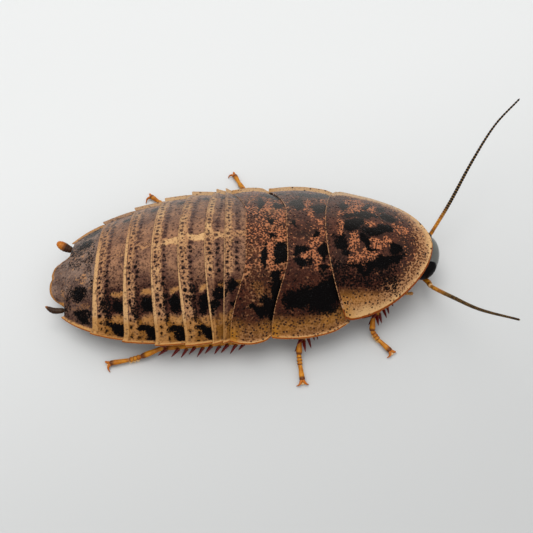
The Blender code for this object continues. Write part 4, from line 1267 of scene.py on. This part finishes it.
HEAD_CENTRE = np.array([18.05, EYE_MIDDLE, 2.42])
NECK_ROOT = np.array([13.9, EYE_MIDDLE, 2.35])
SKULL_LOW = -1.75
SKULL_HEIGHT = 4.2
SKULL_WIDTHS = ((-1.75, -1.2, -0.4, 0.6, 1.5, 2.2, 2.45), (1.0, 1.75, 2.3, 2.5, 2.2, 1.25, 0.05))
EYE_LOW = -0.98
EYE_LENGTH = 2.7
SOCKET_RADII = np.array([0.3, 0.42, 0.46, 0.46, 0.44, 0.42, 0.34, 0.2])
SPOT_RADII = np.array([0.1, 0.17, 0.2, 0.19, 0.15, 0.06])

# Places of each palp's joints and their radii
PALP_JOINTS = (
    (16.0, 2.7, 0.9, 0.2), (16.4, 3.05, 0.8, 0.19), (16.8, 3.25, 0.95, 0.17), (17.2, 3.35, 1.15, 0.17),
)
LEAN = math.radians(37.0)
CROWN = np.array([math.sin(LEAN), 0.0, math.cos(LEAN)])
FACE = np.array([math.cos(LEAN), 0.0, -math.sin(LEAN)])
SIDE = np.array([0.0, 1.0, 0.0])


def head_place(up, out, side):
    """A place in the head's own axes: toward the crown, out of the face and to the left."""
    up, out, side = np.broadcast_arrays(np.asarray(up, float), out, side)
    return HEAD_CENTRE + up[..., None] * CROWN + out[..., None] * FACE + side[..., None] * SIDE


class ROACH_OT_head(Builder, bpy.types.Operator):
    """Build the head, its eyes, mouthparts, palps and neck"""
    bl_idname = "roach.head"
    bl_label = "Head"

    def make(self, shell, limbs):
        black = paint_named("head_cuticle", head_paint, limbs)
        self.skull(black)
        self.eyes(limbs)
        amber = paint_named("mouth_cuticle", limb_paint, limbs, "spine")
        self.mouth(amber)
        self.neck(amber)
        for side, name in ((1.0, "palp_left"), (-1.0, "palp_right")):
            self.palp(name, side, amber)

    def skull(self, paint):
        """Pear-shaped capsule: ovals stacked from the mouth to the crown, flatter at the back."""
        t = 0.5 - 0.5 * np.cos(np.linspace(0.04, math.pi - 0.03, 90))
        up = SKULL_LOW + SKULL_HEIGHT * t
        wide = table(*SKULL_WIDTHS, up)
        wide = np.where(up > 1.5, 2.62 * bow(up / 2.47), wide)
        front = 1.45 * bow(up / 2.48) + 0.12 * hump(up, -0.9, 0.4)
        back = least(1.45 * bow(up / 2.48), 1.12)
        form = Form()
        amber = ramp(up, -0.7, -0.9) * 0.9
        # Painted reflection: the top of the head takes the grey crown colour
        crown = ramp(up, 1.0, 0.9)
        sweep(form, head_place(up, 0.0, 0.0), wide, front, row_marks(amber, 0.0, crown), FACE, 96, back)
        for side in (1.0, -1.0):
            centre = head_place(0.05, 0.98, 1.62 * side)
            outward = unit(0.75 * FACE + 0.66 * side * SIDE)
            path = centre + outward * np.linspace(-0.25, 0.14, len(SOCKET_RADII))[:, None]
            sweep(form, path, SOCKET_RADII, SOCKET_RADII, row_marks(0.8, 0.35), CROWN, 24)
            centre = head_place(0.42, 1.05, 1.22 * side)
            outward = unit(FACE + 0.4 * side * SIDE)
            path = centre + outward * np.linspace(-0.2, 0.12, len(SPOT_RADII))[:, None]
            sweep(form, path, SPOT_RADII, SPOT_RADII, row_marks(0.0, 0.85), CROWN, 16)
        form.finish("skull", paint, "head", "head")

    def eyes(self, limbs):
        """Long kidney shapes round the sides of the head: ovals carried along a bent line."""
        paint = paint_named("eye_facets", eye_paint, limbs)
        for side, name in ((1.0, "eye_left"), (-1.0, "eye_right")):
            t = 0.5 - 0.5 * np.cos(np.linspace(0.03, math.pi - 0.03, 64))
            up = EYE_LOW + EYE_LENGTH * t
            out = 1.84 - 0.3 * (2.0 * t - 0.9) ** 2
            path = head_place(up + 0.22, 0.06 - 0.2 * np.sin(math.pi * t), side * out)
            size = bow(2.0 * t - 1.0)
            rim = ramp(t, 0.42, -0.25) * 0.8
            form = Form()
            sweep(form, path, 0.92 * size, 0.8 * size, row_marks(rim), SIDE * side, 48)
            form.finish(f"facets_{name}", paint, "eye", name)

    def mouth(self, paint):
        """Lip plates in front, two jaws between and the lower lip behind."""
        form = Form()
        t = np.linspace(0.0, 1.0, 16)
        lip = bow(2.0 * t - 1.0, 4)
        for path, wide, deep, marks, sides in (
            ((-1.15 - 0.75 * t, 1.0 - 0.28 * t), 1.35 - 0.35 * t, 0.2, row_marks(0.1, 0.5 * t), 36),
            ((-1.7 - 0.7 * t, 0.72 - 0.16 * t), 0.95 - 0.15 * t, 0.14, row_marks(0.0, 0.15), 32),
            ((-0.9 - 1.2 * t, -0.75 + 0.35 * t), 1.0 - 0.35 * t, 0.28, row_marks(0.1, 0.2, 0.2), 32),
        ):
            wide, deep = most(wide * lip, THINNEST), most(deep * lip, THINNEST)
            sweep(form, head_place(*path, 0.0), wide, deep, marks, FACE, sides)
        for side in (1.0, -1.0):
            path = head_place(-1.0 - 1.25 * t, 0.45 - 0.1 * t, side * (1.15 - 0.75 * t ** 1.5))
            size = most(0.5 * bow(1.8 * t - 0.8), 0.03)
            sweep(form, path, size, size * 1.1, row_marks(ramp(t, 0.5, 0.4), 0.6), FACE, 24)
            path = head_place(-1.15 - t, -0.35 + 0.1 * t, side * (0.85 - 0.3 * t))
            size = most(0.3 * lip, THINNEST)
            sweep(form, path, size, size, row_marks(0.0, 0.3, 0.3), FACE, 20)
        form.finish("jaws", paint, "mouthparts", "mouthparts")

    def neck(self, paint):
        """Soft folded tube from the first ring to the back of the head."""
        t = np.linspace(0.0, 1.0, 60)
        path = NECK_ROOT + (HEAD_CENTRE + np.array([-0.3, 0.0, 0.45]) - NECK_ROOT) * t[:, None]
        folds = 1.0 + 0.07 * np.sin(t * 32.0)
        ends = most(np.sqrt(held(least(t, 1.0 - t) / 0.08)), 0.05)
        form = Form()
        sweep(form, path, 1.05 * folds * ends, 0.8 * folds * ends, row_marks(0.0, 0.15, 0.7), sides=40)
        form.finish("neck_skin", paint, "mouthparts", "neck")

    def palp(self, name, side, paint):
        """Jointed feeler beside the mouth; the last joint is long and blunt."""
        joints = [head_place(-1.1, -0.2, 1.35 * side)]
        joints += [np.array([x, EYE_MIDDLE + side * out, z]) for x, out, z, _ in PALP_JOINTS]
        form = Form()
        for start, end, (_, _, _, radius) in zip(joints, joints[1:], PALP_JOINTS):
            reach = (end - start) / np.linalg.norm(end - start) * 0.08
            capsule(form, start - reach, end + reach, radius, radius, row_marks(0.0, 0.12, 0.2),
                    PROFILES["palp"], rows=16)
        form.finish(f"mouth_{name}", paint, "leg", name)


# Lengths and radii of the antennae's parts, and places along each of them, in millimetres
SCAPE_END = 2.2
PEDICEL_END = 2.3
ROOT_RADII = ((0.0, 0.4, 1.2, 1.75, 1.9, 2.1, PEDICEL_END), (0.19, 0.25, 0.27, 0.24, 0.17, 0.2, 0.19))
FIRST_RING = 0.19
TAPER = 0.1
RING_SWELL = 0.08
RING_PINCH = 0.24

ANTENNAE = {
    "antenna_right": (
        (18.2, -1.55, 1.75), (18.75, -2.35, 1.95), (19.0, -3.35, 2.55), (20.2, -6.0, 5.0),
        (21.65, -9.15, 8.1), (23.45, -12.7, 12.5),
    ),
    "antenna_left": (
        (18.35, 1.9, 1.75), (19.15, 2.5, 1.95), (19.75, 3.2, 2.8), (21.6, 5.6, 4.4), (24.0, 9.1, 6.7),
        (26.4, 12.1, 8.7), (28.9, 14.05, 10.45),
    ),
}


class ROACH_OT_feelers(Builder, bpy.types.Operator):
    """Build the two antennae ring by ring"""
    bl_idname = "roach.feelers"
    bl_label = "Antennae"

    def make(self, shell, limbs):
        paint = paint_named("antenna_cuticle", feeler_paint, limbs)
        for name, places in ANTENNAE.items():
            self.antenna(name, places, limbs.rings, paint)

    def antenna(self, name, places, rings, paint):
        """Long tapering tube: a stout first joint, a short second one, then many small rings.

        Its radius swells slightly within each ring and pinches where two rings meet.
        """
        path = curve_through(places, 1600)
        length = np.concatenate([[0.0], np.cumsum(np.linalg.norm(np.diff(path, axis=0), axis=1))])
        count = rings * 10 + 60
        at = np.linspace(0.0, length[-1], count)
        path = np.stack([np.interp(at, length, path[:, k]) for k in range(3)], axis=1)
        beyond = held((at - SCAPE_END) / (length[-1] - SCAPE_END))
        ring = beyond ** 0.85 * rings
        place = ring - np.floor(ring)
        outer = FIRST_RING - TAPER * ramp(at, PEDICEL_END, length[-1] - 1.0)
        base = np.where(at > PEDICEL_END, outer, table(*ROOT_RADII, at))
        swell = 1.0 + RING_SWELL * np.sin(math.pi * place) - RING_PINCH * (place > 0.76)
        swell = np.where(at > SCAPE_END, swell, 1.0)
        tip = np.sqrt(held((length[-1] - at) / 0.2))
        radius = most(base * swell * most(tip, 0.1), THINNEST)
        dark = ramp(at, 3.0, 2.6)
        pale = 0.75 * hump(at, 1.85, 0.1)
        joints = hump(at, 1.5, 0.13) + hump(at, 2.35, 0.12)
        dark = most(dark, 0.7 * joints)
        bands = 0.95 * (place > 0.7) * (at > SCAPE_END) * (1.0 - 0.4 * beyond)
        form = Form()
        sweep(form, path, radius, radius, row_marks(dark, bands, pale), sides=16)
        form.finish(f"ringed_{name}", paint, "antenna", name)


# Root, hip, knee, ankle, heel, ball, toe and the tips of two claws of each leg, in millimetres
LEGS = {
    "fore_right": (
        (13.3, -0.7, 2.35), (11.0, -1.6, 1.6), (14.9, -3.5, 1.9), (13.0, -6.0, 1.55), (12.85, -7.15, 0.85),
        (13.38, -7.88, 0.52), (14.5, -9.15, 0.42), (15.04, -9.04, 0.1), (14.13, -9.72, 0.1),
    ),
    "fore_left": (
        (13.3, 1.5, 2.35), (11.0, 2.4, 1.6), (15.0, 4.3, 1.9), (13.5, 6.3, 1.5), (14.1, 7.1, 0.85),
        (14.6, 7.5, 0.5), (15.0, 8.1, 0.42), (15.5, 8.3, 0.1), (14.8, 8.7, 0.1),
    ),
    "mid_right": (
        (6.3, -0.95, 2.3), (3.3, -2.2, 1.6), (9.0, -3.7, 1.9), (5.73, -8.42, 1.4), (5.6, -9.5, 0.85),
        (5.68, -10.4, 0.55), (5.85, -12.0, 0.42), (5.27, -12.45, 0.1), (6.45, -12.3, 0.1),
    ),
    "mid_left": (
        (6.3, 1.55, 2.3), (3.3, 2.7, 1.6), (6.4, 7.7, 1.8), (0.8, 9.7, 1.25), (0.3, 10.95, 0.8),
        (-0.2, 12.0, 0.5), (-0.76, 13.3, 0.42), (-1.55, 13.25, 0.1), (-0.9, 13.95, 0.1),
    ),
    "hind_right": (
        (1.0, -1.35, 2.3), (-2.8, -2.7, 1.6), (1.3, -8.2, 1.65), (-7.41, -8.55, 1.25), (-9.7, -9.2, 0.68),
        (-10.75, -9.42, 0.5), (-12.73, -9.71, 0.42), (-13.2, -9.3, 0.1), (-12.7, -10.5, 0.1),
    ),
    "hind_left": (
        (1.0, 1.6, 2.3), (-2.8, 2.5, 1.6), (1.6, 7.6, 1.65), (-6.6, 8.1, 1.2), (-8.2, 9.1, 0.65),
        (-9.05, 9.75, 0.5), (-10.0, 10.65, 0.42), (-10.6, 9.95, 0.1), (-10.15, 11.2, 0.1),
    ),
}

# Radius of coxa, femur and tibia, length of a spine, count of outer and of inner spines, and how far
# round the ankle its crown of spines reaches
LEG_SIZES = {
    "fore": (0.62, 0.5, 0.33, 1.15, 4, 3, -1.0),
    "mid": (0.85, 0.58, 0.35, 1.35, 8, 3, -0.3),
    "hind": (0.95, 0.66, 0.37, 1.15, 9, 6, -0.5),
}
ROW_LEAN = 0.9
CROWN_LEAN = 0.75
HIGH_TURN = math.radians(8.0)
LOW_TURN = math.radians(-22.0)
CROWN_SPINES = 6
CROWN_START = 20.0
CLEAR_OF_TOES = math.cos(math.radians(34.0))
FLOOR_CLEARANCE = 0.1
HEEL_RADIUS = 0.3
TOE_RADIUS = 0.27
PAD_RADIUS = 0.2
HOOK_RADIUS = 0.15


class ROACH_OT_legs(Builder, bpy.types.Operator):
    """Build the six legs with their spines, toe joints, pads and claws"""
    bl_idname = "roach.legs"
    bl_label = "Legs"

    def make(self, shell, limbs):
        paint = paint_named("leg_cuticle", limb_paint, limbs, "spine")
        for name, places in LEGS.items():
            pair = name.split("_")[0]
            side = 1.0 if name.endswith("left") else -1.0
            form = Form()
            self.leg(form, [np.array(place) for place in places], LEG_SIZES[pair], side)
            parts = [f"{part}_{name}" for part in ("coxa", "femur", "tibia", "tarsus")]
            form.finish(f"leg_{name}", paint, "leg", *parts)

    def leg(self, form, places, sizes, side):
        """Round-ended joints from the body to the toes, each a swept oval with its own profile."""
        root, hip, knee, ankle, heel, ball, toe, *claws = places
        coxa, femur, tibia, spine, outer, inner, back = sizes
        joint = lambda t: row_marks(0.0, 0.75 * ramp(t, 0.88, 0.1) + 0.5 * ramp(t, 0.08, -0.06), 0.0)
        capsule(form, root + (0, 0, 0.35), hip, coxa, coxa * 0.72, joint, PROFILES["coxa"], 0.5, 30, 36)
        turn = unit(knee - hip)
        capsule(form, hip - turn * 0.3, hip + turn * 0.55, femur * 0.62, femur * 0.6, row_marks(0.0, 0.35),
                rows=16, sides=20)
        capsule(form, hip + turn * 0.2, knee + turn * 0.15, femur, femur * 0.8, joint, PROFILES["femur"],
                0.4, 36, 32)
        shin = unit(ankle - knee)
        capsule(form, knee - shin * 0.2, ankle + shin * 0.08, tibia, tibia * 0.86, joint, PROFILES["tibia"],
                0.2, 40, 24)
        self.spines(form, knee, ankle, heel, side, spine, outer, inner, back, tibia)
        self.foot(form, ankle, heel, ball, toe, claws)

    def thorn(self, form, root, heading, length):
        """Tapering spine that curves a little toward its tip, in a raised socket."""
        drop = 0.08 - heading[2]
        length = min(length, (root[2] - FLOOR_CLEARANCE) / drop) if drop > 0.0 else length
        t = np.array([0.0, 0.04, 0.12, 0.2, 0.45, 0.7, 0.9, 1.0])
        sag = np.array([0.0, 0.0, 0.0, 0.01, 0.03, 0.07, 0.12, 0.15])
        path = root + heading * (length * t)[:, None]
        path[:, 2] -= sag * length * 0.5
        size = np.array([0.14, 0.21, 0.21, 0.17, 0.145, 0.1, 0.05, 0.012])
        marks = row_marks(ramp(t, 0.08, 0.08), 0.8)
        guide = (0.0, 0.0, 1.0) if abs(heading[2]) < 0.9 else (1.0, 0.0, 0.0)
        sweep(form, path, size, size, marks, guide, 10)

    def spines(self, form, knee, ankle, toes, side, length, outer, inner, back, tibia):
        """Two rows of spines along the shin and a crown of them at its end."""
        axis = unit(ankle - knee)
        out = unit(np.cross(axis, (0.0, 0.0, 1.0)))
        out = out if out[1] * side > 0.0 else -out
        upper = np.cross(out, axis)
        upper = upper if upper[2] > 0.0 else -upper
        for sign, count in ((1.0, outer), (-1.0, inner)):
            for i in range(count):
                place = knee + (ankle - knee) * (0.06 + 0.82 * (i + 0.5) / count)
                turn = LOW_TURN if i % 2 else HIGH_TURN
                away = out * sign * math.cos(turn) + upper * math.sin(turn)
                heading = axis * math.cos(ROW_LEAN) + away * math.sin(ROW_LEAN)
                self.thorn(form, place + away * (tibia * 0.75), heading, length * (0.85 + 0.075 * (i % 3)))
        for i in range(CROWN_SPINES):
            turn = math.radians(CROWN_START + 360.0 / CROWN_SPINES * i)
            away = out * math.cos(turn) + upper * math.sin(turn)
            heading = axis * math.cos(CROWN_LEAN) + away * math.sin(CROWN_LEAN)
            if away @ out >= back and heading @ unit(toes - ankle) < CLEAR_OF_TOES:
                self.thorn(form, ankle - axis * 0.3 + away * (tibia * 0.7), heading, length)

    def foot(self, form, ankle, heel, ball, toe, claws):
        """Five toe joints, each flared at its end, with soft pads below and two hooked claws."""
        joints = [ankle, heel, *[heel + (ball - heel) * share for share in (1 / 3, 2 / 3)], ball, toe]
        flare = lambda t: row_marks(0.0, 0.95 * ramp(t, 0.72, 0.14), 0.15 * ramp(t, 0.2, -0.15))
        for start, end in zip(joints, joints[1:]):
            run = unit(end - start)
            profile = PROFILES["last_toe" if end is toe else "toe"]
            thick = HEEL_RADIUS if start is ankle else TOE_RADIUS
            start, end = start - run * 0.1, end + run * 0.06
            capsule(form, start, end, thick, thick * 0.92, flare, profile, 0.3, 22, 20)
        for place in (joints[2], joints[3], joints[4]):
            pad = place.copy()
            pad[2] = 0.0
            capsule(form, place - (0, 0, 0.05), pad, PAD_RADIUS, PAD_RADIUS, row_marks(0.0, 0.0, 0.75),
                    blunt=0.5, rows=12, sides=14, guide=(1.0, 0.0, 0.0))
        heading = unit(toe - ball)
        capsule(form, toe - heading * 0.05, toe + heading * 0.32 - (0, 0, 0.28), PAD_RADIUS, 0.12,
                row_marks(0.0, 0.0, 0.8), rows=14)
        for tip in claws:
            middle = (toe + tip) / 2.0 + heading * 0.16 + (0, 0, 0.1)
            t = np.linspace(0.0, 1.0, 18)
            path = curve_through([toe - heading * 0.12, middle, tip], len(t))
            size = np.linspace(HOOK_RADIUS, THINNEST, len(t)) ** 0.9
            sweep(form, path, size, size, row_marks(ramp(t, 0.6, 0.3) * 0.6, 0.2, 0.0, 0.8), sides=12)


# Place and size of each area light and half side of the floor, in metres, colour of the light from
# all round, and the camera's axes and its place, in millimetres
LIGHTS = {
    "key": ((-0.06, 0.17, 0.2), 0.22),
    "top": ((-0.04, 0.01, 0.42), 0.3),
    "fill": ((0.25, -0.3, 0.3), 0.3),
}
FLOOR_HALF = 0.6
SKY = (0.93, 0.97, 1.0, 1.0)
CAMERA_RIGHT = Vector((0.99953, -0.01449, -0.02708))
CAMERA_UP = Vector((0.02690, 0.83868, 0.54397))
CAMERA_PLACE = np.array([3.857, -44.287, 70.178])


class ROACH_OT_stage(bpy.types.Operator):
    """Set the floor, the lights and the camera"""
    bl_idname = "roach.stage"
    bl_label = "Stage"
    bl_options = {"REGISTER", "UNDO"}

    def execute(self, context):
        look = context.scene.roach_stage
        self.floor(look)
        self.lights(context, look)
        self.camera(context, look)
        return {"FINISHED"}

    def floor(self, look):
        """Pale floor, with painted shade that darkens it toward the camera and to the right."""
        half = FLOOR_HALF
        mesh = bpy.data.meshes.new("floor")
        corners = [(-half, -half, 0.0), (half, -half, 0.0), (half, half, 0.0), (-half, half, 0.0)]
        mesh.from_pydata(corners, [], [(0, 1, 2, 3)])
        paint = Paint("pale_floor", look, Specular_IOR_Level=0.2)
        grain = paint.noise(60.0, 2.0, 0.5)
        along, away = [paint.part("XYZ", paint.place, axis) for axis in "XY"]
        # Painted shade: the floor falls to a darker copy of its colour toward the camera and to the right,
        # as light falling off from the lamps
        fade = (along * 0.35 - away).between(-30.0, 45.0)
        shade = [channel * 0.71 for channel in look.floor]
        paint.finish(paint.mix(fade, "floor", shade), 0.6 + grain * 0.1)
        mesh.materials.append(paint.material)
        floor = bpy.data.objects.new("floor", mesh)
        bpy.context.scene.collection.objects.link(floor)

    def lights(self, context, look):
        """Large soft light behind and above, weaker ones overhead and at the camera's side."""
        for name, (place, size) in LIGHTS.items():
            data = bpy.data.lights.new(name, "AREA")
            data.size = size
            data.energy = getattr(look, name)
            light = bpy.data.objects.new(name, data)
            light.location = place
            light.rotation_euler = (-Vector(place)).to_track_quat("-Z", "Y").to_euler()
            context.scene.collection.objects.link(light)
        world = bpy.data.worlds.new("surroundings")
        world.use_nodes = True
        background = world.node_tree.nodes["Background"]
        background.inputs["Color"].default_value = SKY
        background.inputs["Strength"].default_value = look.air
        context.scene.world = world
        context.scene.view_settings.view_transform = "Standard"

    def camera(self, context, look):
        """Camera above the right side, as steep and as near as the model is meant to be seen."""
        data = bpy.data.cameras.new("camera")
        data.lens = look.lens
        data.sensor_width = 36.0
        data.clip_start = 0.005
        data.clip_end = 5.0
        camera = bpy.data.objects.new("camera", data)
        turn = Matrix((CAMERA_RIGHT, CAMERA_UP, CAMERA_RIGHT.cross(CAMERA_UP))).transposed().to_4x4()
        place = (CAMERA_PLACE + SHIFT) * MM
        camera.matrix_world = Matrix.Translation(place) @ turn
        context.scene.collection.objects.link(camera)
        context.scene.camera = camera


class ROACH_PT_panel(bpy.types.Panel):
    """Sidebar panel with the looks and the builders"""
    bl_idname = "ROACH_PT_panel"
    bl_label = "Roach"
    bl_space_type = "VIEW_3D"
    bl_region_type = "UI"
    bl_category = "Roach"

    def draw(self, context):
        for group in (context.scene.roach_shell, context.scene.roach_limbs, context.scene.roach_stage):
            box = self.layout.box()
            for name in group.__annotations__:
                box.prop(group, name)
        for builder in BUILDERS:
            self.layout.operator(builder.bl_idname)


BUILDERS = (
    ROACH_OT_pronotum, ROACH_OT_thorax, ROACH_OT_abdomen, ROACH_OT_tail, ROACH_OT_head, ROACH_OT_feelers,
    ROACH_OT_legs, ROACH_OT_stage,
)
CLASSES = (RoachShellLook, RoachLimbLook, RoachStageLook, *BUILDERS, ROACH_PT_panel)


def register():
    """Add the classes, and the looks to every scene."""
    for kind in CLASSES:
        bpy.utils.register_class(kind)
    bpy.types.Scene.roach_shell = PointerProperty(type=RoachShellLook)
    bpy.types.Scene.roach_limbs = PointerProperty(type=RoachLimbLook)
    bpy.types.Scene.roach_stage = PointerProperty(type=RoachStageLook)


def unregister():
    """Take away what register added."""
    del bpy.types.Scene.roach_stage
    del bpy.types.Scene.roach_limbs
    del bpy.types.Scene.roach_shell
    for kind in reversed(CLASSES):
        bpy.utils.unregister_class(kind)


def main():
    """Build the model and the stage."""
    register()
    bpy.ops.roach.pronotum()
    bpy.ops.roach.thorax()
    bpy.ops.roach.abdomen()
    bpy.ops.roach.tail()
    bpy.ops.roach.head()
    bpy.ops.roach.feelers()
    bpy.ops.roach.legs()
    bpy.ops.roach.stage()


if __name__ == "__main__":
    main()
